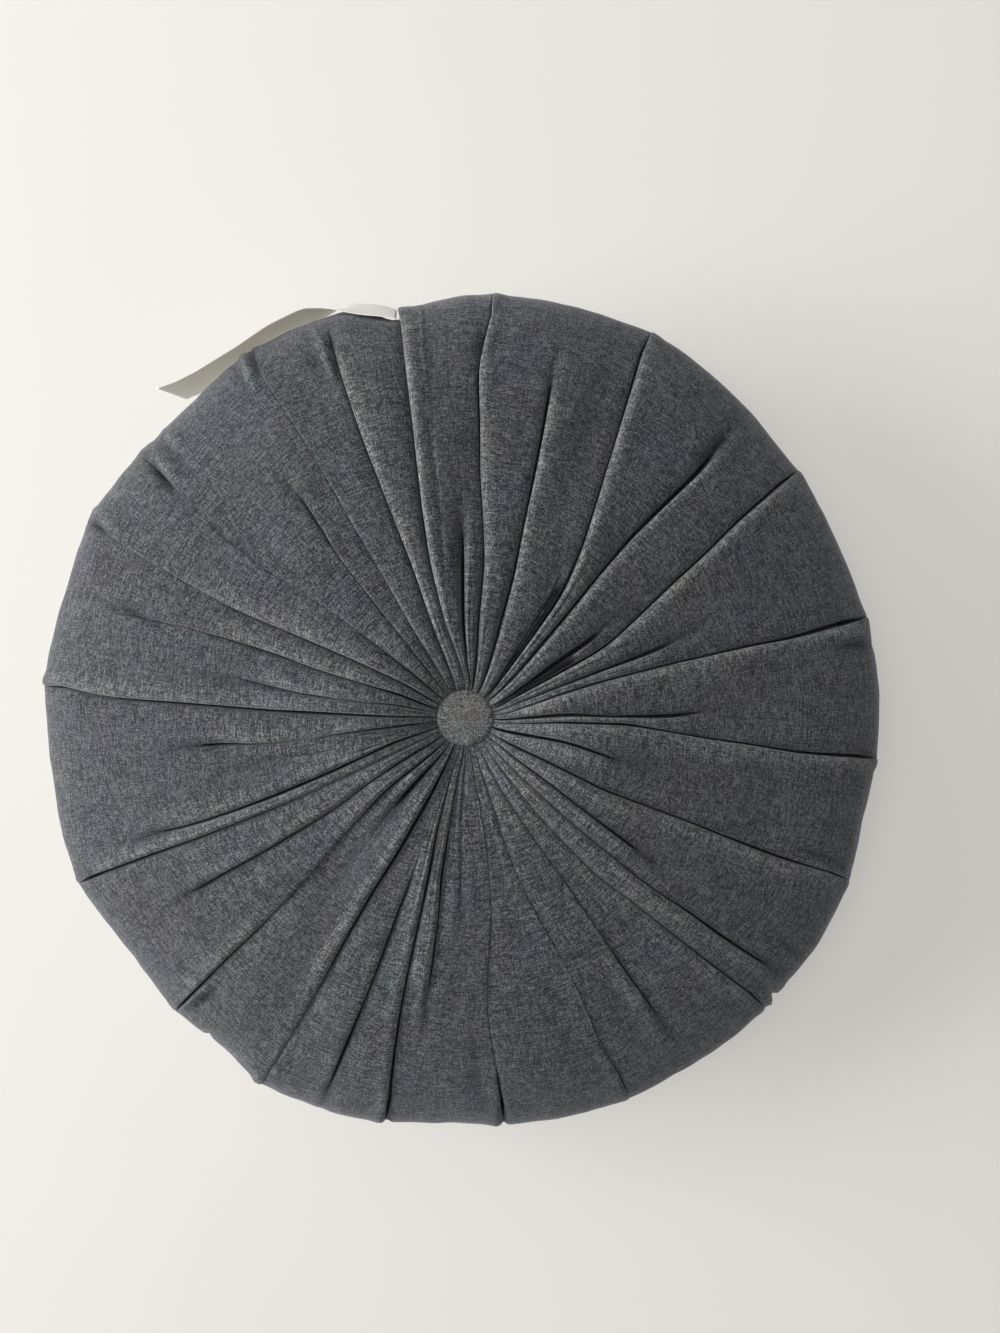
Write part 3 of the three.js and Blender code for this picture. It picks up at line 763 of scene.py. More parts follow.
class Finish:
    """A material being made: its node tree, with short calls to add and join nodes."""

    def __init__(self, name: str, colour: Colour) -> None:
        """Start a material with one surface shader.

        Args:
            name: The material's name.
            colour: Its colour where a plain view shows it.
        """
        self.material = bpy.data.materials.new(name)
        self.material.use_nodes = True
        self.material.diffuse_color = (*colour, 1.0)
        self.tree = self.material.node_tree
        self.shader = self.tree.nodes["Principled BSDF"]

    def set(self, **values: float | tuple) -> None:
        """Set values on the shader's own sockets; an underscore in a name stands for a space."""
        for name, value in values.items():
            self.shader.inputs[name.replace("_", " ")].default_value = value

    def node(self, kind: str, **settings: object) -> Node:
        """Add a node and set its properties.

        Args:
            kind: The node's type.
            settings: The properties, by name.

        Returns:
            The node.
        """
        made = self.tree.nodes.new(kind)
        for name, value in settings.items():
            setattr(made, name, value)
        return made

    def join(self, source: Socket, target: Socket) -> None:
        """Link one socket to another."""
        self.tree.links.new(source, target)

    def cloth_place(self, layer: str) -> Socket:
        """Place on the cloth in metres, from the piece's own map."""
        return self.node("ShaderNodeUVMap", uv_map=layer).outputs["UV"]

    def scaled(self, vector: Socket, scale: Scale) -> Socket:
        """Multiply a place by a scale.

        Args:
            vector: The place.
            scale: What each of its three parts is multiplied by.

        Returns:
            The place times the scale.
        """
        made = self.node("ShaderNodeVectorMath", operation="MULTIPLY")
        self.join(vector, made.inputs[0])
        made.inputs[1].default_value = scale
        return made.outputs["Vector"]

    def math(self, operation: str, first: Socket, second: Socket | float) -> Socket:
        """Work out a sum, difference or product of two values.

        Args:
            operation: Which of them.
            first: The first value.
            second: The second, a socket or a number.

        Returns:
            The result.
        """
        made = self.node("ShaderNodeMath", operation=operation)
        self.join(first, made.inputs[0])
        if isinstance(second, (int, float)):
            made.inputs[1].default_value = second
        else:
            self.join(second, made.inputs[1])
        return made.outputs[0]

    def noise(self, place: Socket, scale: Scale, detail: float = 2.0) -> Socket:
        """Cloudy values about one half.

        Args:
            place: Where on the piece.
            scale: Turns per metre, each way.
            detail: How many times finer clouds are added.

        Returns:
            The value there.
        """
        made = self.node("ShaderNodeTexNoise")
        made.inputs["Scale"].default_value = 1.0
        made.inputs["Detail"].default_value = detail
        made.inputs["Roughness"].default_value = CLOUD_ROUGHNESS
        self.join(self.scaled(place, scale), made.inputs["Vector"])
        return made.outputs["Fac"]

    def cells(self, place: Socket, scale: Scale) -> Socket:
        """Random values about one half, each filling a cell.

        Args:
            place: Where on the piece.
            scale: Cells per metre, each way.

        Returns:
            The value there.
        """
        made = self.node("ShaderNodeTexVoronoi", voronoi_dimensions="2D")
        made.inputs["Scale"].default_value = 1.0
        self.join(self.scaled(place, scale), made.inputs["Vector"])
        return made.outputs["Color"]

    def tinted(self, colour: Socket, factor: Socket, low: Colour, high: Colour) -> Socket:
        """A colour times a tint that runs from low to high with a factor about one half."""
        below, above = MIDDLE_OF_CLOUDS
        return self.times(colour, self.ramp(factor, [(below, low), (above, high)]))

    def times(self, colour: Socket, other: Socket) -> Socket:
        """Multiply two colours.

        Args:
            colour: The first.
            other: The second.

        Returns:
            Their product.
        """
        made = self.node("ShaderNodeVectorMath", operation="MULTIPLY")
        self.join(colour, made.inputs[0])
        self.join(other, made.inputs[1])
        return made.outputs["Vector"]

    def wave(self, place: Socket, across: float, along: float) -> Socket:
        """The sine of a place's distance over a wave's length, across and along the cloth.

        Args:
            place: Where on the piece.
            across: Turns per metre across.
            along: Turns per metre along.

        Returns:
            The sine.
        """
        made = self.node("ShaderNodeVectorMath", operation="DOT_PRODUCT")
        self.join(place, made.inputs[0])
        made.inputs[1].default_value = (2 * math.pi * across, 2 * math.pi * along, 0.0)
        sine = self.node("ShaderNodeMath", operation="SINE")
        self.join(made.outputs["Value"], sine.inputs[0])
        return sine.outputs[0]

    def mixed(self, parts: list[tuple[Socket, float]]) -> Socket:
        """Sum of values, each less a half and times its own weight, plus a half.

        Args:
            parts: The values and their weights.

        Returns:
            The sum.
        """
        total: Socket | None = None
        for value, weight in parts:
            centred = self.math("MULTIPLY", self.math("SUBTRACT", value, 0.5), weight)
            total = centred if total is None else self.math("ADD", total, centred)
        return self.math("ADD", total, 0.5)

    def ramp(self, factor: Socket, stops: list[tuple[float, Colour]]) -> Socket:
        """Colours that run evenly from stop to stop.

        Args:
            factor: The value that picks the colour.
            stops: Each stop's place and colour, in rising order.

        Returns:
            The colour.
        """
        made = self.node("ShaderNodeValToRGB")
        elements = made.color_ramp.elements
        for element, (place, colour) in zip(elements, (stops[0], stops[-1])):
            element.position = place
            element.color = (*colour, 1.0)
        for place, colour in stops[1:-1]:
            elements.new(place).color = (*colour, 1.0)
        self.join(factor, made.inputs["Fac"])
        return made.outputs["Color"]

    def bump(self, height: Socket, depth: float, strength: float) -> None:
        """Stand the surface up and down by a height times a depth.

        Args:
            height: The height, about 0 to 1.
            depth: The depth in metres.
            strength: How much of it is used.
        """
        made = self.node("ShaderNodeBump")
        made.inputs["Strength"].default_value = strength
        made.inputs["Distance"].default_value = depth
        self.join(height, made.inputs["Height"])
        self.join(made.outputs["Normal"], self.shader.inputs["Normal"])


@dataclass(frozen=True)
class MelangeCloth:
    """Charcoal cloth woven from light and dark fibres, brushed on the face."""

    name: str = "charcoal_melange_cloth"
    layer: str = "cloth"
    dark: Colour = (0.0174, 0.0188, 0.0232)
    middle: Colour = (0.0478, 0.0522, 0.0616)
    light: Colour = (0.166, 0.173, 0.187)
    thread: float = 0.4
    slub: float = 3.3
    contrast: float = 1.0
    thread_weights: tuple[float, float, float] = (0.32, 0.48, 0.82)
    patch_weight: float = 0.08
    patch_scale: float = 70.0
    shade_places: tuple[float, float, float] = (0.18, 0.5, 0.88)
    heather_scale: Scale = (26.0, 26.0, 1.0)
    heather: Colour = (1.05, 0.965, 1.01)
    green: Colour = (0.965, 1.04, 0.98)
    brown_scale: Scale = (19.0, 31.0, 1.0)
    blue: Colour = (0.97, 1.0, 1.07)
    brown: Colour = (1.035, 1.0, 0.93)
    tint_detail: float = 4.0
    # Painted light: the next three raise the colour as a painted highlight, with brushed wear, on
    # the pleats' lips and ridges, tint that highlight less blue, and darken the colour as painted
    # shade in creases and hollows.
    wear_and_highlight_gain: float = 0.66
    wear_and_highlight_blue: float = 0.92
    painted_crease_shade: float = 0.92
    relief: float = 0.12
    relief_weights: tuple[float, float, float] = (0.6, 0.8, 0.8)
    twill: float = 950.0
    twill_weight: float = 0.16
    sheen: float = 0.35

    def make(self) -> bpy.types.Material:
        """Build the cloth.

        Warp and weft are random cells drawn out along each thread's way, the grain is cells
        drawn out neither way, and wide clouds vary the whole. Their weighted sum picks the
        colour, and with the twill's diagonal wave it stands up the surface. Two sets of clouds
        tint the cloth between heather and green, and between blue and brown. The cover's
        painted-light attribute is painted shade where it is -1, darkening the colour down to 1
        less the crease shade, and a painted highlight with brushed wear where it is 1, raising
        the colour by the highlight gain.

        Returns:
            The material.
        """
        finish = Finish(self.name, self.middle)
        place = finish.cloth_place(self.layer)
        fine, drawn = 1.0 / MILLIMETRE / self.thread, 1.0 / MILLIMETRE / self.slub
        warp = finish.cells(place, (fine, drawn, 1.0))
        weft = finish.cells(place, (drawn, fine, 1.0))
        grain = finish.cells(place, (fine, fine, 1.0))
        patches = finish.noise(place, (self.patch_scale, self.patch_scale, 1.0), 3.0)
        threads = (warp, weft, grain)
        weights = [self.contrast * weight for weight in self.thread_weights]
        factor = finish.mixed([*zip(threads, weights), (patches, self.patch_weight)])
        shades = (self.dark, self.middle, self.light)
        colour = finish.ramp(factor, list(zip(self.shade_places, shades)))
        heather = finish.noise(place, self.heather_scale, self.tint_detail)
        colour = finish.tinted(colour, heather, self.heather, self.green)
        flipped = finish.scaled(place, (1.0, -1.0, 1.0))
        brown = finish.noise(flipped, self.brown_scale, self.tint_detail)
        colour = finish.tinted(colour, brown, self.blue, self.brown)
        # Painted light from the cover's point attribute: painted shade in creases and hollows at
        # -1, a painted highlight with brushed wear on lips and ridges at 1.
        painted_shade_highlight_and_wear = finish.node("ShaderNodeAttribute", attribute_name="painted_shade_highlight_and_wear").outputs["Fac"]
        level = finish.math("ADD", finish.math("MULTIPLY", painted_shade_highlight_and_wear, 0.5), 0.5)
        painted_shade_colour = (1 - self.painted_crease_shade,) * 3
        raised = 1 + self.wear_and_highlight_gain
        wear_and_painted_light = (raised, raised, self.wear_and_highlight_blue * raised)
        shade = finish.ramp(level, [(0.0, painted_shade_colour), (0.5, (1.0, 1.0, 1.0)), (1.0, wear_and_painted_light)])
        finish.join(finish.times(colour, shade), finish.shader.inputs["Base Color"])
        twill = finish.wave(place, self.twill, self.twill)
        relief = finish.mixed(list(zip(threads, self.relief_weights)))
        height = finish.math("ADD", relief, finish.math("MULTIPLY", twill, self.twill_weight))
        finish.bump(height, self.relief * MILLIMETRE, 1.0)
        finish.set(
            Roughness=0.92,
            Sheen_Weight=self.sheen,
            Sheen_Roughness=0.42,
            Sheen_Tint=(0.80, 0.84, 0.90, 1.0),
            Specular_IOR_Level=0.2,
        )
        return finish.material


@dataclass(frozen=True)
class SatinRibbon:
    """Off-white satin ribbon."""

    name: str = "off_white_satin"
    layer: str = "cloth"
    colour: Colour = (0.80, 0.782, 0.725)
    dulled: float = 0.86
    streak_scale: Scale = (60.0, 2600.0, 1.0)
    cloud_scale: Scale = (70.0, 70.0, 1.0)
    ribs: float = 1800.0
    rib_weight: float = 0.2
    relief: float = 0.04

    def make(self) -> bpy.types.Material:
        """Build the ribbon: long fine streaks along it, glossy, with a low ribbed relief.

        Returns:
            The material.
        """
        finish = Finish(self.name, self.colour)
        place = finish.cloth_place(self.layer)
        streaks = finish.noise(place, self.streak_scale)
        clouds = finish.noise(place, self.cloud_scale)
        factor = finish.mixed([(streaks, 0.5), (clouds, 0.4)])
        dull = tuple(self.dulled * value for value in self.colour)
        colour = finish.ramp(factor, [(0.2, dull), (0.8, self.colour)])
        finish.join(colour, finish.shader.inputs["Base Color"])
        ribs = finish.math("MULTIPLY", finish.wave(place, self.ribs, 0.0), self.rib_weight)
        finish.bump(finish.math("ADD", streaks, ribs), self.relief * MILLIMETRE, 0.8)
        finish.set(
            Roughness=0.42,
            Sheen_Weight=0.15,
            Specular_IOR_Level=0.4,
            Subsurface_Weight=0.42,
            Subsurface_Radius=(1.0, 0.95, 0.8),
            Subsurface_Scale=0.002,
        )
        return finish.material


# Pieces.


@dataclass(frozen=True)
class Placing:
    """Where the shapes' own axis and mid-height stand in the frame, in millimetres."""

    x: float
    y: float
    middle: float

    @classmethod
    def from_frame(cls) -> "Placing":
        """Find the place from the front button's box and the two buttons' common mid-height.

        Returns:
            The place.
        """
        low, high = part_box("button_front")
        under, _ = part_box("button_back")
        return cls(
            x=(low.x + high.x) / 2 / MILLIMETRE,
            y=(low.y + high.y) / 2 / MILLIMETRE,
            middle=(high.z + under.z) / 2 / MILLIMETRE,
        )

    def place(self, points: Array) -> Array:
        """Points about the pillow's own axis, moved into the frame and turned into metres."""
        return (points + np.array([self.x, self.y, self.middle])) * MILLIMETRE


def make_object(
    name: str,
    points: Array,
    faces: list[Array],
    material: bpy.types.Material,
    cloth_map: list[Array] | None = None,
) -> bpy.types.Object:
    """Make a mesh object from whole arrays.

    Args:
        name: The piece's name.
        points: Its vertices in metres, as an (N, 3) array.
        faces: Arrays of faces, each of one count of corners.
        material: The finish.
        cloth_map: For each array of faces, its corners' places on the cloth in metres.

    Returns:
        The object, linked to the scene and shaded smooth.
    """
    mesh = bpy.data.meshes.new(name)
    counts = np.concatenate([np.full(len(part), part.shape[1]) for part in faces])
    corners = np.concatenate([part.ravel() for part in faces])
    mesh.vertices.add(len(points))
    mesh.vertices.foreach_set("co", points.astype(np.float32).ravel())
    mesh.loops.add(len(corners))
    mesh.loops.foreach_set("vertex_index", corners.astype(np.int32))
    mesh.polygons.add(len(counts))
    mesh.polygons.foreach_set("loop_start", (np.cumsum(counts) - counts).astype(np.int32))
    mesh.polygons.foreach_set("use_smooth", np.ones(len(counts), bool))
    mesh.update(calc_edges=True)
    if cloth_map is not None:
        layer = mesh.uv_layers.new(name="cloth")
        places = np.concatenate([part.reshape(-1, 2) for part in cloth_map])
        layer.data.foreach_set("uv", places.astype(np.float32).ravel())
    mesh.materials.append(material)
    mesh.validate()
    made = bpy.data.objects.new(name, mesh)
    bpy.context.scene.collection.objects.link(made)
    return made


@dataclass(frozen=True)
class PleatPoint:
    """One column of a pleat's section, counted clockwise.

    Its place is the sum of shares of the half panel before it, the trough's reach, the crease's
    gape, the lip's reach and the half panel after it, and turn, a length of its own. laid is that
    length where the pleat has run out and lies flat. rise is its height as a share of the fold's,
    and sink its depth as a share of the gape. The last field darkens the cloth in the crease as
    painted shade, from 0 to -1, where the crease stands open.
    """

    before: float = 0.0
    trough: float = 0.0
    gape: float = 0.0
    turn: float = 0.0
    laid: float = 0.0
    lip: float = 0.0
    after: float = 0.0
    rise: float = 0.0
    sink: float = 0.0
    # Painted shade in the crease.
    painted_shade_highlight_and_wear: float = 0.0


PLEAT = (
    *(PleatPoint(before=1 - part / 5, trough=part / 5) for part in range(5)),
    PleatPoint(trough=1.0, rise=-0.01),
    PleatPoint(trough=0.62, laid=-0.1, rise=-0.03),
    PleatPoint(trough=0.34, gape=-0.3, laid=-0.4, rise=-0.08),
    PleatPoint(gape=-0.52, turn=-0.4, laid=-1.35, rise=-0.17),
    # The columns in the crease carry painted shade, darkest at its bottom.
    PleatPoint(gape=-0.52, turn=-0.1, laid=-1.0, rise=-0.22, sink=0.25, painted_shade_highlight_and_wear=-0.8),
    PleatPoint(gape=-0.48, turn=-0.02, laid=-0.6, rise=-0.50, sink=2.2, painted_shade_highlight_and_wear=-1.0),
    PleatPoint(gape=0.05, laid=-0.2, rise=-0.80, sink=4.0, painted_shade_highlight_and_wear=-1.0),
    PleatPoint(gape=0.58, laid=0.2, rise=-0.50, sink=2.4, painted_shade_highlight_and_wear=-1.0),
    PleatPoint(gape=0.5, turn=0.02, laid=0.6, rise=-0.15, sink=0.8, painted_shade_highlight_and_wear=-0.8),
    PleatPoint(gape=0.5, turn=-0.15, laid=1.0, rise=0.02),
    PleatPoint(gape=0.5, turn=0.4, laid=1.4, rise=0.23),
    PleatPoint(gape=0.5, turn=1.5, laid=1.8, rise=0.31),
    PleatPoint(gape=0.3, turn=1.2, laid=1.3, lip=0.35, rise=0.2),
    PleatPoint(lip=1.0, rise=0.03),
    *(PleatPoint(lip=1 - part / 5, after=part / 5) for part in range(1, 5)),
)
CREASE = 11


@dataclass
class Cover:
    """The pleated cloth cover over its filling."""

    section: Section
    lines: FoldLines
    placing: Placing
    lip_reach: float = 7.0
    lip_share: float = 0.8
    trough_extra: float = 2.0
    trough_share: float = 0.6
    full_pitch: float = 8.0
    crisp_height: float = 0.8
    loose_range: Span = (0.2, 1.6)
    puff: float = 1.7
    puff_power: float = 0.3
    crest_power: float = 1.25
    crest_range: Span = (12.0, 30.0)
    full_panel: float = 34.0
    swell: float = 0.46
    swell_reach: float = 3.5
    swell_held: float = 0.3
    face_share: float = 0.25
    face_range: Span = (150.0, 199.0)
    inner_range: Span = (10.0, 15.0)
    # Painted light on the cover: a painted highlight, with brushed wear, beside each fold's lip,
    # more in the middle of the face, added to by the tucks' ridges and turned to painted shade in
    # their hollows; and painted shade where a crease stands open, and towards it.
    wear_and_highlight_range: Span = (0.2, 2.4)
    wear_and_highlight_reach: float = 5.5
    tuck_painted_light_length: float = 3.0
    wear_and_highlight_centre: float = 0.7
    open_gape: float = 0.5
    painted_crease_shade: float = 0.6
    painted_crease_shade_reach: float = 0.9
    widest_gape: float = 0.36
    side_range: Span = (184.0, 199.0)
    pucker: float = 0.7
    pucker_middle: float = 2.2
    pucker_width: float = 4.0
    shallow: float = 0.12
    shallow_range: Span = (187.0, 197.0)
    sunk_edge: float = 1.2
    sunk_range: Span = (14.0, 20.0)
    sunk_inside: float = 12.0
    sunk_outside: float = 2.0
    # The two below: the painted shade in a sunk panel, and the depth at which it is full.
    sunk_painted_shade: float = -0.95
    sunk_full: float = 2.0
    uneven_range: Span = (18.0, 60.0)
    uneven: tuple[tuple[float, Undulation], ...] = (
        (0.8, Undulation(seed=3, waves=24, shortest=26.0, longest=90.0, stretch=1.6)),
        (0.2, Undulation(seed=5, waves=30, shortest=9.0, longest=24.0, stretch=3.0)),
    )
    stretch_power: int = 3
    fan_reach: float = 5.0
    stations: Stations = field(init=False)

    def __post_init__(self) -> None:
        """Lay out the rings."""
        self.stations = Stations.along(self.section)

    def gaps(self, angles: Array) -> tuple[Array, Array]:
        """Half the length along the ring from each fold to the one before and the one after.

        Args:
            angles: Angles of the folds, stations by folds.

        Returns:
            Half panels before and after each fold, stations by folds.
        """
        after = np.roll(angles, -1, axis=1) - angles
        after[:, -1] += 360.0
        half_after = np.radians(after) * self.stations.radius[:, None] / 2
        return np.roll(half_after, 1, axis=1), half_after

    def offsets(
        self, height: Array, gape: Array, before: Array, after: Array
    ) -> tuple[Array, Array]:
        """Each column's place along the ring from its fold's line, and how far it is laid out.

        A pleat's columns stand as PLEAT says where it is high, and lie side by side where it has
        run out.

        Args:
            height: Heights, stations by folds.
            gape: Widths of the open creases, stations by folds.
            before: Half panels before each fold.
            after: Half panels after each fold.

        Returns:
            Places along the ring, and how far each is laid out, stations by folds by columns.
        """
        table = np.array(
            [[p.before, p.trough, p.gape, p.turn, p.laid, p.lip, p.after] for p in PLEAT]
        )
        reach = np.array([fold.trough + self.trough_extra for fold in FOLDS])
        trough = np.minimum(reach, self.trough_share * before)
        lip = np.minimum(self.lip_reach, self.lip_share * after)
        crowd = np.minimum(1.0, (before + after) / self.full_pitch)
        spread = 1 - smoothstep(height, 0.0, self.crisp_height)
        stood = (1 - spread) * crowd
        parts = np.stack(
            [-before, -trough, (1 - spread) * gape, stood, spread * crowd, lip, after], axis=-1
        )
        return parts @ table.T, spread[..., None]

    def reaches(
        self, height: Array, before: Array, after: Array, place: Array
    ) -> tuple[Array, Array]:
        """Lengths from each column to the folds that hold its panel down on both sides.

        A fold that has run out holds nothing, and the lengths reach past it.

        Args:
            height: Heights, stations by folds.
            before: Half panels before each fold.
            after: Half panels after each fold.
            place: Columns' places along the ring.

        Returns:
            Lengths to the fold behind and the fold ahead, stations by folds by columns.
        """
        loose = 1 - smoothstep(height, *self.loose_range)
        count = len(FOLDS)
        behind, ahead = np.zeros_like(height), np.zeros_like(height)
        for turn in range(2 * count):
            here = turn % count
            behind[:, here] = loose[:, here] * (behind[:, here - 1] + 2 * before[:, here])
            back = (count - 1 - turn) % count
            ahead[:, back] = loose[:, back] * (ahead[:, (back + 1) % count] + 2 * after[:, back])
        left = place < 0
        previous, following = np.roll(behind, 1, axis=1), np.roll(ahead, -1, axis=1)
        to_left = np.where(
            left, previous[..., None] + 2 * before[..., None] + place, behind[..., None] + place
        )
        to_right = np.where(
            left, ahead[..., None] - place, following[..., None] + 2 * after[..., None] - place
        )
        return np.maximum(to_left, 0.0), np.maximum(to_right, 0.0)

    def panel_rise(self, beside: Array, to_left: Array, to_right: Array) -> Array:
        """How far the filling pushes each panel out.

        A panel is a parabola between its folds, 4s(1-s) with s the share of the way from the fold
        behind. In a narrow panel s is raised to a power, which moves its crest ahead. Beside the
        fold behind it the panel swells by t times e to the power of 1-t, with t the length from
        that fold over the swell's own reach, and the swell ends at the fold ahead.

        Args:
            beside: Heights of the folds behind, stations by folds by columns.
            to_left: Lengths to the folds behind.
            to_right: Lengths to the folds ahead.

        Returns:
            Lengths outwards, stations by folds by columns.
        """
        width = np.maximum(to_left + to_right, NARROWEST)
        full = np.minimum(1.0, width / self.full_panel) ** self.puff_power
        power = lerp(self.crest_power, 1.0, smoothstep(width, *self.crest_range))
        share = (to_left / width) ** power
        near = to_left / self.swell_reach
        swell = self.swell * beside * near * np.exp(1 - near)
        held = smoothstep(to_right / width, 0.0, self.swell_held)
        return self.puff * full * 4 * share * (1 - share) + swell * held

    def paint_light_and_wear(
        self,
        height: Array,
        gape: Array,
        place: Array,
        to_left: Array,
        to_right: Array,
        spread: Array,
    ) -> Array:
        """Painted light on the cloth: a painted highlight, with brushed wear, beside the fold
        behind it, and painted shade towards the one ahead and in the crease.

        The highlight grows with the fold's height, more in the middle of the face, times e to the
        minus squared distance over a reach. Painted shade is laid where the crease ahead stands
        open, times e to the minus distance over a shorter reach. In a crease it is the column's
        own painted crease shade.

        Args:
            height: Heights, stations by folds.
            gape: Widths of the open creases, stations by folds.
            place: Columns' places along the ring.
            to_left: Lengths to the folds behind.
            to_right: Lengths to the folds ahead.
            spread: How far each column is spread.

        Returns:
            The painted highlight and shade, -1 to 1, stations by folds by columns.
        """
        inner = 1 - smoothstep(self.stations.radius[:, None], *MIDDLE_RANGE)
        high = smoothstep(height, *self.wear_and_highlight_range)
        crisp = np.minimum(1.0, (1 + self.wear_and_highlight_centre * inner) * high)
        dark = smoothstep(gape, 0.0, self.open_gape)
        behind = own_or(crisp, np.roll(crisp, 1, axis=1), place < 0)
        ahead = own_or(dark, np.roll(dark, -1, axis=1), place >= 0)
        # Painted highlight with brushed wear beside the fold behind; painted shade towards the
        # crease ahead and in it.
        wear_and_painted_light = behind * np.exp(-((to_left / self.wear_and_highlight_reach) ** 2))
        painted_crease_shade = self.painted_crease_shade * ahead * np.exp(-to_right / self.painted_crease_shade_reach)
        slot = np.array([p.painted_shade_highlight_and_wear for p in PLEAT])
        return np.where(slot < 0, slot * dark[..., None] * (1 - spread), wear_and_painted_light - painted_crease_shade)

    def cloth_places(
        self, angles: Array, before: Array, after: Array, place: Array, spread: Array
    ) -> Array:
        """Places across the cloth, from the seam round, for every column.

        A panel's middle keeps the place that it has at the rim. Cloth lies at its true length on
        both sides of it, and what is left over is in the fold between two panels.

        Args:
            angles: Angles of the folds, stations by folds.
            before: Half panels before each fold.
            after: Half panels after each fold.
            place: Columns' places along the ring.
            spread: How far each column is spread.

        Returns:
            Millimetres across the cloth, stations by folds by columns.
        """
        rim = angles[np.argmax(self.stations.radius)]
        following = np.append(rim[1:], rim[0] + 360.0)
        middle_after = np.radians((rim + following) / 2) * self.section.rim
        middle_before = np.roll(middle_after, 1)
        middle_before[0] -= 2 * math.pi * self.section.rim
        left = middle_before[None, :, None] + before[..., None] + place
        right = middle_after[None, :, None] - after[..., None] + place
        across = np.clip((np.arange(len(PLEAT)) - CREASE + 2) / 3, 0.0, 1.0)
        pleated = lerp(left, right, across)
        share = (place + before[..., None]) / (before + after)[..., None]
        laid = lerp(middle_before[None, :, None], middle_after[None, :, None], share)
        return lerp(pleated, laid, spread)

    def make(self, material: bpy.types.Material) -> bpy.types.Object:
        """Build the cover.

        Each column stands at its fold's angle plus its place along the ring, on the section moved
        along its facing by the rise of the pleat, the side and the panel, less the depth of a sunk
        panel, plus the cloth's unevenness and the small tucks. Near the rim the radius is
        stretched to the outline. What would stand below the resting ring is pressed level with
        it. A painted-light attribute goes with the cover: the folds' painted highlight, with
        brushed wear, and painted shade, turned to painted shade in a sunk panel, with the tucks'
        height over a length added, a painted highlight on their ridges and painted shade in their
        hollows.

        Args:
            material: The cloth.

        Returns:
            The cover.
        """
        stations = self.stations
        angles = self.lines.angles(stations)
        height = self.lines.heights(stations)
        before, after = self.gaps(angles)
        gape = np.minimum(self.lines.gapes(stations), self.widest_gape * (before + after))
        place, spread = self.offsets(height, gape, before, after)
        radius = stations.radius[:, None, None]
        to_left, to_right = self.reaches(height, before, after, place)
        rise = self.pleat_rise(height, gape, spread) + self.side_rise(place)
        beside = own_or(height, np.roll(height, 1, axis=1), place < 0)
        rise = rise + self.panel_rise(beside, to_left, to_right) * self.face_shares()
        deep = self.sunk(place, to_left)
        across = self.cloth_places(angles, before, after, place, spread)
        along = np.broadcast_to(stations.length[:, None, None], across.shape)
        uneven = sum(share * waves.at(across, along) for share, waves in self.uneven)
        rise = rise - deep + uneven * smoothstep(radius, *self.uneven_range)
        angle = angles[..., None] + np.degrees(place / radius)
        tucked = self.lines.tucks(stations, angle)
        rise = rise + tucked
        # Painted light: a highlight with brushed wear on lips and ridges, and painted shade in
        # creases, hollows and sunk panels.
        painted_shade_highlight_and_wear = self.paint_light_and_wear(height, gape, place, to_left, to_right, spread)
        painted_shade_highlight_and_wear = lerp(painted_shade_highlight_and_wear, self.sunk_painted_shade, np.minimum(1.0, deep / self.sunk_full))
        painted_shade_highlight_and_wear = np.clip(painted_shade_highlight_and_wear + tucked / self.tuck_painted_light_length, -1.0, 1.0)
        rim = self.section.rim
        stretch = (self.lines.outline(angle) / rim - 1) * (radius / rim) ** self.stretch_power
        out = radius * (1 + stretch) + stations.outward[:, None, None] * rise
        up = stations.height[:, None, None] + stations.upward[:, None, None] * rise
        up = np.maximum(up, -self.section.half_height)
        points = polar_points(angle, out, up)
        seat = self.section.seat_height
        centres = np.array([[0.0, 0.0, seat], [0.0, 0.0, -seat]])
        rings, columns = len(stations.radius), len(FOLDS) * len(PLEAT)
        flat = self.lapped(np.stack([across, along], -1).reshape(rings, columns, 2))
        cover = make_object(
            "cover",
            self.placing.place(np.concatenate([points.reshape(-1, 3), centres])),
            [ring_faces(rings, columns), *end_fans(rings, columns)],
            material,
            [self.corner_places(flat) * MILLIMETRE, *self.fan_places(flat)],
        )
        # The painted light and shade, with the wear, go to the cloth as a point attribute.
        wear_and_painted_light = cover.data.attributes.new("painted_shade_highlight_and_wear", "FLOAT", "POINT")
        wear_and_painted_light.data.foreach_set("value", np.append(painted_shade_highlight_and_wear.ravel(), [0.0, 0.0]).astype(np.float32))
        return cover

    def pleat_rise(self, height: Array, gape: Array, spread: Array) -> Array:
        """Rise of every column over its pleat: its share of the fold's height, less its share of
        the gape, which is shallow at the rim.

        Args:
            height: Heights, stations by folds.
            gape: Widths of the open creases, stations by folds.
            spread: How far each column is spread.

        Returns:
            Lengths outwards, stations by folds by columns.
        """
        rise = height[..., None] * np.array([p.rise for p in PLEAT])
        at_rim = smoothstep(self.stations.radius[:, None, None], *self.shallow_range)
        sink = np.array([p.sink for p in PLEAT])
        return rise - gape[..., None] * (1 - spread) * lerp(1.0, self.shallow, at_rim) * sink

    def side_rise(self, place: Array) -> Array:
        """Rise over the side: a bell beside each fold that runs on over it, less the seam's step,
        which is a bell about the seam on the side before it.

        Args:
            place: Columns' places along the ring.

        Returns:
            Lengths outwards, stations by folds by columns.
        """
        at_side = smoothstep(self.stations.radius[:, None, None], *self.side_range)
        pucker = np.array([self.pucker if fold.outer == OVER_SIDE else 0.0 for fold in FOLDS])
        raised = pucker[None, :, None] * bell(place, self.pucker_middle, self.pucker_width)
        below = (np.arange(len(FOLDS)) == SEAM)[None, :, None] & (np.arange(len(PLEAT)) < CREASE)
        return at_side * (raised - SEAM_STEP * below * bell(place, 0.0, SEAM_REACH))

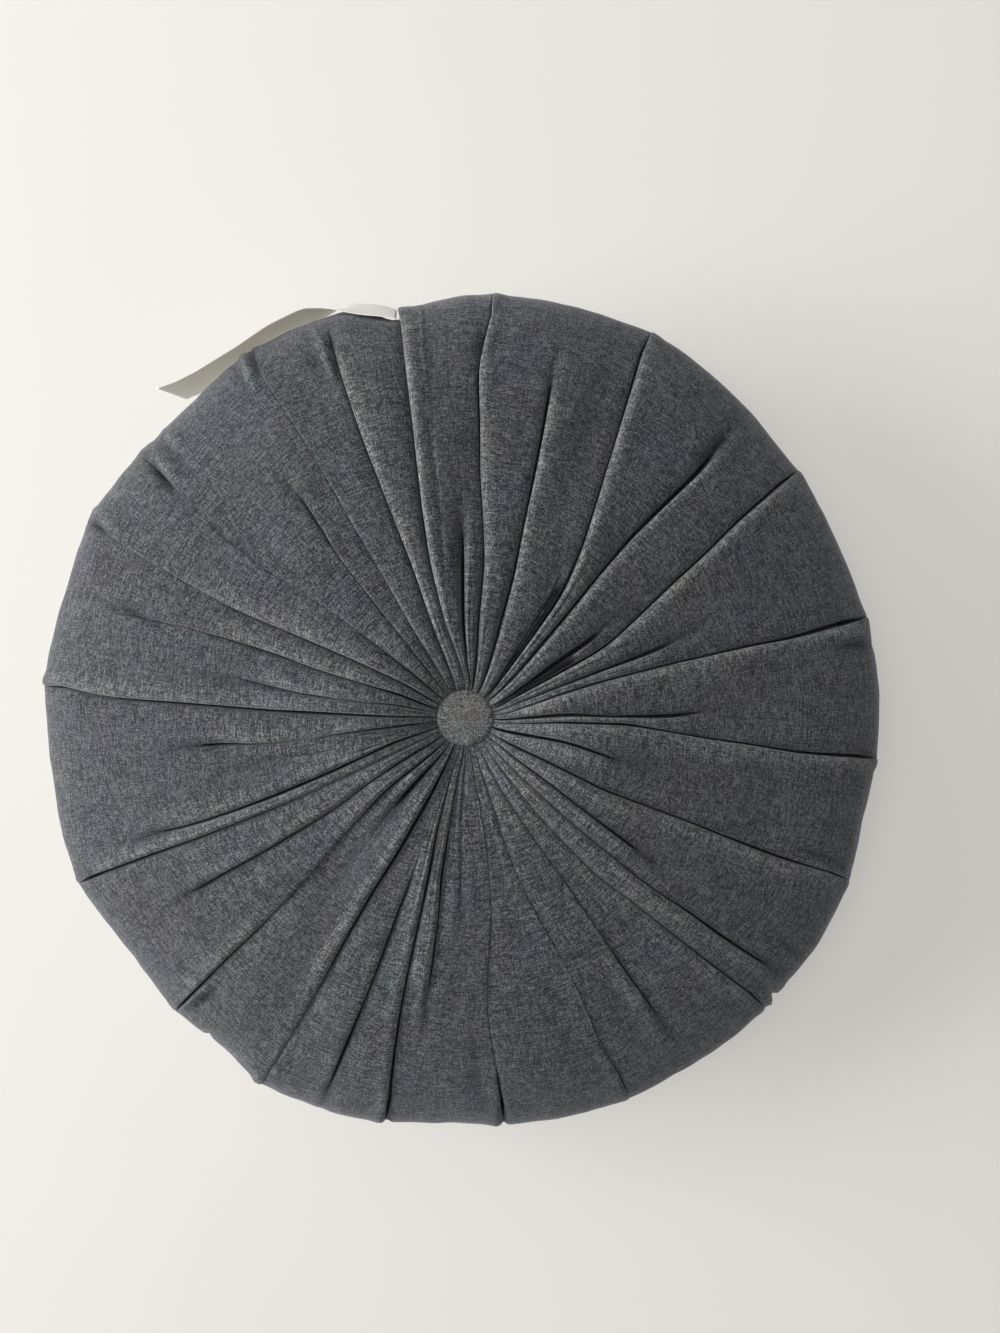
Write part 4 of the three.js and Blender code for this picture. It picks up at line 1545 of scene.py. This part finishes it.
    def face_shares(self) -> Array:
        """Share of a panel's rise at every station: less over the side, none under a button.

        Returns:
            Shares, with one axis for folds and one for columns.
        """
        radius = self.stations.radius[:, None, None]
        over_side = 1 - (1 - self.face_share) * smoothstep(radius, *self.face_range)
        return over_side * smoothstep(radius, *self.inner_range)

    def sunk(self, place: Array, to_left: Array) -> Array:
        """How deep each column lies where the panel after a fold is sunk.

        It is the fold's sunk depth between the button and the radius sunk_outer, on the front,
        and it starts a little way from the fold.

        Args:
            place: Columns' places along the ring.
            to_left: Lengths to the folds behind.

        Returns:
            Depths, stations by folds by columns.
        """
        depth = np.array([fold.sunk for fold in FOLDS])
        outer = np.array([fold.sunk_outer for fold in FOLDS])
        radius = self.stations.radius[:, None]
        ends = 1 - smoothstep(radius, outer - self.sunk_inside, outer + self.sunk_outside)
        reach = smoothstep(radius, *self.sunk_range) * ends
        sunk = depth * reach * self.stations.front[:, None]
        panel = own_or(sunk, np.roll(sunk, 1, axis=1), place < 0)
        return panel * smoothstep(to_left, 0.0, self.sunk_edge)

    def lapped(self, flat: Array) -> Array:
        """Cloth places with the columns past the seam's crease set back by one turn.

        Args:
            flat: Places on the cloth, rings by columns.

        Returns:
            The places, set back.
        """
        turned = flat.copy()
        start = SEAM * len(PLEAT) + CREASE + 1
        turned[:, start:, 0] -= 2 * math.pi * self.section.rim
        return turned

    def corner_places(self, flat: Array) -> Array:
        """Cloth places of every quad's corners, with the quads across the seam kept whole.

        Args:
            flat: Places on the cloth, rings by columns.

        Returns:
            Places, quads by corners.
        """
        following = np.roll(flat, -1, axis=1)
        start = SEAM * len(PLEAT) + CREASE
        following[:, start, 0] += 2 * math.pi * self.section.rim
        return np.stack([flat[:-1], following[:-1], following[1:], flat[1:]], axis=2)

    def fan_places(self, flat: Array) -> list[Array]:
        """Cloth places of the fans under the two buttons: their rings', drawn to one line.

        Args:
            flat: Places on the cloth, rings by columns.

        Returns:
            Places in metres for the front fan and the back fan, triangles by corners.
        """
        fans = []
        for ring, order in ((0, (0, 2, 1)), (-1, (0, 1, 2))):
            here = flat[ring]
            following = np.roll(here, -1, axis=0)
            centre = here + np.array([0.0, -self.fan_reach if ring == 0 else self.fan_reach])
            corners = np.stack([centre, here, following], axis=1)[:, order]
            fans.append(corners * MILLIMETRE)
        return fans


# The button's profile, from under it over its edge to its middle: radius and height.
BUTTON_PROFILE = (
    (2, 0), (6, 0), (10, 0), (12.2, 0.1), (13.1, 0.5), (13.62, 1.1), (13.9, 1.8), (14, 2.6),
    (13.93, 3.6), (13.7, 4.6), (13.2, 5.3), (12.4, 5.72), (11.2, 5.98), (9.6, 6.16), (7.6, 6.32),
    (5.4, 6.45), (3.2, 6.55), (1.2, 6.6),
)


@dataclass
class CoveredButton:
    """A button covered in the cover's cloth, low and domed, with a rounded edge.

    The cloth's tucks under the edge are a product of two waves round it: tuck_waves are their
    counts, tuck_starts where they start, and tuck_level is taken off. uneven_height is how uneven
    the dome is.
    """

    node: str
    side: Side
    placing: Placing
    radius: float = 12.6
    thickness: float = 6.6
    columns: int = 128
    edge_height: float = 1.6
    edge_range: Span = (11.0, 13.0)
    tuck_depth: float = 0.16
    tuck_waves: tuple[int, int] = (19, 7)
    tuck_starts: tuple[float, float] = (0.4, 1.0)
    tuck_level: float = 0.4
    dome_range: Span = (3.5, 5.5)
    uneven_height: float = 0.09
    uneven: Undulation = Undulation(seed=11, waves=14, shortest=7.0, longest=26.0)

    def make(self, material: bpy.types.Material) -> bpy.types.Object:
        """Build the button.

        The profile is a flat underside, a rounded edge and a shallow dome, turned about the axis.
        The small tucks under the edge, a product of two sines round it, are added to the radius,
        and the cloth's unevenness to the dome's height.

        Args:
            material: The button's cloth.

        Returns:
            The button.
        """
        radii, heights = np.array(BUTTON_PROFILE, float).T
        scale = self.radius / radii.max()
        angle = np.arange(self.columns) * 360.0 / self.columns
        turn = np.radians(angle)[None, :]
        edge = bell(heights, self.edge_height, self.edge_height)
        edge = edge * smoothstep(radii, *self.edge_range)
        waves, starts = self.tuck_waves, self.tuck_starts
        both = np.sin(waves[0] * turn + starts[0]) * np.sin(waves[1] * turn + starts[1])
        tucks = self.tuck_depth * edge[:, None] * (both - self.tuck_level)
        flat = polar_points(angle[None, :], radii[:, None], 0.0)
        domed = smoothstep(heights, *self.dome_range)[:, None] * self.uneven_height
        dome = domed * self.uneven.at(flat[..., 0], flat[..., 1])
        level = heights[:, None] * (self.thickness / heights.max()) + dome
        points = polar_points(angle[None, :], radii[:, None] * scale + tucks, level)
        rings = len(radii)
        shell = [ring_faces(rings, self.columns), *end_fans(rings, self.columns)]
        faces = [part[:, ::-1] for part in shell]
        centres = np.array([[0.0, 0.0, 0.0], [0.0, 0.0, self.thickness]])
        points = np.concatenate([points.reshape(-1, 3), centres])
        low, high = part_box(self.node)
        if self.side is Side.BACK:
            points = points * np.array([1.0, -1.0, -1.0])
            points[:, 2] += high.z / MILLIMETRE - self.placing.middle
        else:
            points[:, 2] += low.z / MILLIMETRE - self.placing.middle
        bend = np.repeat(radii + heights, self.columns)
        turns = np.tile(turn[0], rings)
        plane = np.stack([bend * np.sin(turns), bend * np.cos(turns)], -1)
        plane = np.concatenate([plane, np.zeros((2, 2))])
        return make_object(
            self.node + "_cloth",
            self.placing.place(points),
            faces,
            material,
            [plane[part] * MILLIMETRE for part in faces],
        )


@dataclass(frozen=True)
class LabelSection:
    """A line across the ribbon: its distance from the seam, and the radius and height of the
    edge towards the face and of the edge towards the back."""

    along: float
    face_radius: float
    face_height: float
    back_radius: float
    back_height: float


@dataclass
class CareLabel:
    """The care label: a ribbon caught in the side seam, twisted where it leaves the cover."""

    placing: Placing
    lines: FoldLines
    length: float = 124.0
    width: float = 30.0
    thickness: float = 0.35
    rows: int = 90
    columns: int = 13
    before_seam: float = 0.7
    cut_lag: float = 0.045
    sections: tuple[LabelSection, ...] = (
        LabelSection(0, 187.8, 20.8, 200.5, -3.4),
        LabelSection(7, 190.2, 20.6, 204.4, -4.6),
        LabelSection(16, 193.2, 20.2, 207.6, -5.6),
        LabelSection(23, 196.4, 19.6, 209.6, -6.8),
        LabelSection(30, 200.4, 18.8, 209.8, -9.0),
        LabelSection(37, 203.9, 17.4, 209.4, -11.4),
        LabelSection(45, 206.4, 16.2, 209.0, -13.0),
        LabelSection(60, 206.2, 15.8, 208.6, -13.4),
        LabelSection(80, 204.8, 15.6, 208.2, -13.6),
        LabelSection(100, 205.9, 15.6, 207.9, -13.8),
        LabelSection(112, 208.3, 15.4, 208.4, -14.0),
        LabelSection(124, 212.4, 15.0, 211.0, -14.0),
    )

    def make(self, material: bpy.types.Material) -> bpy.types.Object:
        """Build the ribbon.

        The grid runs along the smooth curves through the sections and straight across the ribbon.
        Its angle is the seam's less the distance along over the radius, which is cut_lag less at
        the edge towards the back. A second layer a thickness away closes it.

        Args:
            material: The ribbon's finish.

        Returns:
            The label.
        """
        knots = np.array([s.along for s in self.sections], float)
        values = np.array(
            [
                [s.face_radius for s in self.sections],
                [s.face_height for s in self.sections],
                [s.back_radius for s in self.sections],
                [s.back_height for s in self.sections],
            ],
            float,
        )
        along = np.linspace(0.0, self.length, self.rows)
        face_radius, face_height, back_radius, back_height = curve_through(knots, values, along)
        rim = self.lines.section.rim
        seam = self.lines.true_angle(FOLDS[SEAM].line[0], rim)
        seam -= math.degrees(self.before_seam / rim)
        share = np.linspace(0.0, 1.0, self.columns)[None, :]
        run = along[:, None] * (1 - self.cut_lag * share)
        angle = seam - np.degrees(run / ((face_radius + back_radius) / 2)[:, None])
        radius = lerp(face_radius[:, None], back_radius[:, None], share)
        height = lerp(face_height[:, None], back_height[:, None], share)
        middle = polar_points(angle, radius, height)
        facing = np.cross(np.gradient(middle, axis=0), np.gradient(middle, axis=1))
        facing /= np.linalg.norm(facing, axis=-1, keepdims=True)
        layers = [middle + facing * self.thickness / 2, middle - facing * self.thickness / 2]
        count = self.rows * self.columns
        points = np.concatenate([layer.reshape(-1, 3) for layer in layers])
        top = strip_faces(self.rows, self.columns)
        bottom = top[:, ::-1] + count
        edge = self.border()
        following = np.roll(edge, -1)
        sides = np.stack([following, edge, edge + count, following + count], -1)
        flat = np.stack(np.broadcast_arrays(along[:, None], share * self.width), -1).reshape(-1, 2)
        flat = np.concatenate([flat, flat])
        faces = [top, bottom, sides]
        return make_object(
            "care_label_ribbon",
            self.placing.place(points),
            faces,
            material,
            [flat[part] * MILLIMETRE for part in faces],
        )

    def border(self) -> Array:
        """Indices round the edge of the grid, in order."""
        grid = np.arange(self.rows * self.columns).reshape(self.rows, self.columns)
        return np.concatenate([grid[0, :-1], grid[:-1, -1], grid[-1, :0:-1], grid[:0:-1, 0]])


# Floor, light and camera.


@dataclass(frozen=True)
class SoftLight:
    """A square soft box: where it stands, what it points at, its size and its power."""

    name: str
    place: tuple[float, float, float]
    size: float
    power: float
    colour: Colour = (1.0, 1.0, 1.0)

    def make(self, target: Vector) -> bpy.types.Object:
        """Hang the light and turn it to its target.

        Args:
            target: What it points at.

        Returns:
            The light.
        """
        data = bpy.data.lights.new(self.name, "AREA")
        data.size = self.size
        data.energy = self.power
        data.color = self.colour
        made = bpy.data.objects.new(self.name, data)
        made.location = self.place
        made.rotation_euler = (target - Vector(self.place)).to_track_quat("-Z", "Y").to_euler()
        bpy.context.scene.collection.objects.link(made)
        return made


@dataclass(frozen=True)
class Studio:
    """A pale floor, soft light from the left and above, and the camera over the pillow."""

    placing: Placing
    viewpoint: tuple[float, float, float]
    focal_pixels: float = 1000.0
    image_height: float = 1333.0
    sensor: float = 36.0
    floor_size: float = 6.0
    floor_colour: Colour = (0.55, 0.54, 0.52)
    lights: tuple[SoftLight, ...] = (
        SoftLight("key_light", (-2.12, 0.12, 0.55), 1.5, 84.0, (1.0, 0.985, 0.96)),
        SoftLight("upper_left_light", (-1.4, 1.4, 1.1), 1.5, 11.0, (1.0, 0.985, 0.96)),
        SoftLight("top_light", (-0.35, 0.15, 2.5), 1.8, 39.0, (1.0, 0.987, 0.96)),
    )
    sky: Colour = (1.0, 0.985, 0.965)
    sky_strength: float = 0.06
    floor_glow: float = 0.24
    glow_colour: Colour = (1.0, 0.975, 0.945)
    floor_cloud_scale: Scale = (6.0, 6.0, 6.0)
    floor_darker: float = 0.985
    floor_drop: float = 0.0003

    def make_floor(self) -> bpy.types.Object:
        """Lay a wide plain floor just under the pillow.

        Returns:
            The floor.
        """
        half = self.floor_size / 2
        corners = ((-half, -half), (half, -half), (half, half), (-half, half))
        points = np.array([(*corner, -self.floor_drop) for corner in corners])
        finish = Finish("pale_floor", self.floor_colour)
        place = finish.node("ShaderNodeTexCoord").outputs["Object"]
        clouds = finish.noise(place, self.floor_cloud_scale, 3.0)
        darker = tuple(self.floor_darker * value for value in self.floor_colour)
        below, above = MIDDLE_OF_CLOUDS
        colour = finish.ramp(clouds, [(below, darker), (above, self.floor_colour)])
        finish.join(colour, finish.shader.inputs["Base Color"])
        finish.set(
            Roughness=0.9,
            Specular_IOR_Level=0.2,
            Emission_Color=(*self.glow_colour, 1.0),
            Emission_Strength=self.floor_glow,
        )
        floor = make_object("floor", points, [np.array([[0, 1, 2, 3]])], finish.material)
        return floor

    def make_camera(self) -> bpy.types.Object:
        """Set the camera over the pillow, looking straight down with +Y up in its picture.

        Returns:
            The camera.
        """
        data = bpy.data.cameras.new("camera")
        data.sensor_fit = "VERTICAL"
        data.sensor_height = self.sensor
        data.lens = self.focal_pixels / self.image_height * self.sensor
        data.clip_start = 0.01
        made = bpy.data.objects.new("camera", data)
        place = self.placing.place(np.array(self.viewpoint))
        made.location = Vector(place)
        bpy.context.scene.collection.objects.link(made)
        bpy.context.scene.camera = made
        return made

    def make_sky(self) -> None:
        """Fill the room with even pale light."""
        world = bpy.data.worlds.new("room")
        world.use_nodes = True
        background = world.node_tree.nodes["Background"]
        background.inputs["Color"].default_value = (*self.sky, 1.0)
        background.inputs["Strength"].default_value = self.sky_strength
        bpy.context.scene.world = world
        bpy.context.scene.view_settings.view_transform = "Standard"

    def make(self) -> None:
        """Build the floor, the camera, the sky and the lights."""
        self.make_floor()
        self.make_camera()
        self.make_sky()
        target = Vector(self.placing.place(np.array([0.0, 0.0, 0.0])))
        for light in self.lights:
            light.make(target)


# The pillow.


@dataclass
class Pillow:
    """The whole pillow: its cover, its two buttons and its label."""

    placing: Placing

    def make(self) -> None:
        section = Section()
        lines = FoldLines(section)
        cloth = MelangeCloth().make()
        # The buttons take the cover's cloth painted more than twice as light: painted light for
        # their flat, unshaded tops in full light.
        button_cloth = MelangeCloth(
            name="button_cloth_painted_light",
            dark=(0.037, 0.039, 0.0405),
            middle=(0.110, 0.115, 0.118),
            light=(0.305, 0.314, 0.315),
            slub=0.8,
            contrast=1.4,
        ).make()
        cover = Cover(section, lines, self.placing).make(cloth)
        self.fit(cover, "cushion")
        for node, side in (("button_front", Side.FRONT), ("button_back", Side.BACK)):
            button = CoveredButton(node, side, self.placing).make(button_cloth)
            self.fit(button, node)
        label_design = CareLabel(self.placing, lines)
        label = label_design.make(SatinRibbon().make())
        self.fit(label, "care_label")

    def fit(self, piece: bpy.types.Object, node: str) -> None:
        """Let a piece stand for its node, whose solid it hides, and ride with the pillow.

        Args:
            piece: The piece.
            node: The node of the solid that it stands for.
        """
        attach(piece, "root")
        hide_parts(node)
        LOG.info("%s: %d faces, in place of %s", piece.name, len(piece.data.polygons), node)


def main() -> None:
    """Load the frame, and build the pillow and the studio."""
    logging.basicConfig(level=logging.INFO, format="%(name)s: %(message)s")
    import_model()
    placing = Placing.from_frame()
    Pillow(placing).make()
    Studio(placing, FoldLines.viewpoint).make()


if __name__ == "__main__":
    main()
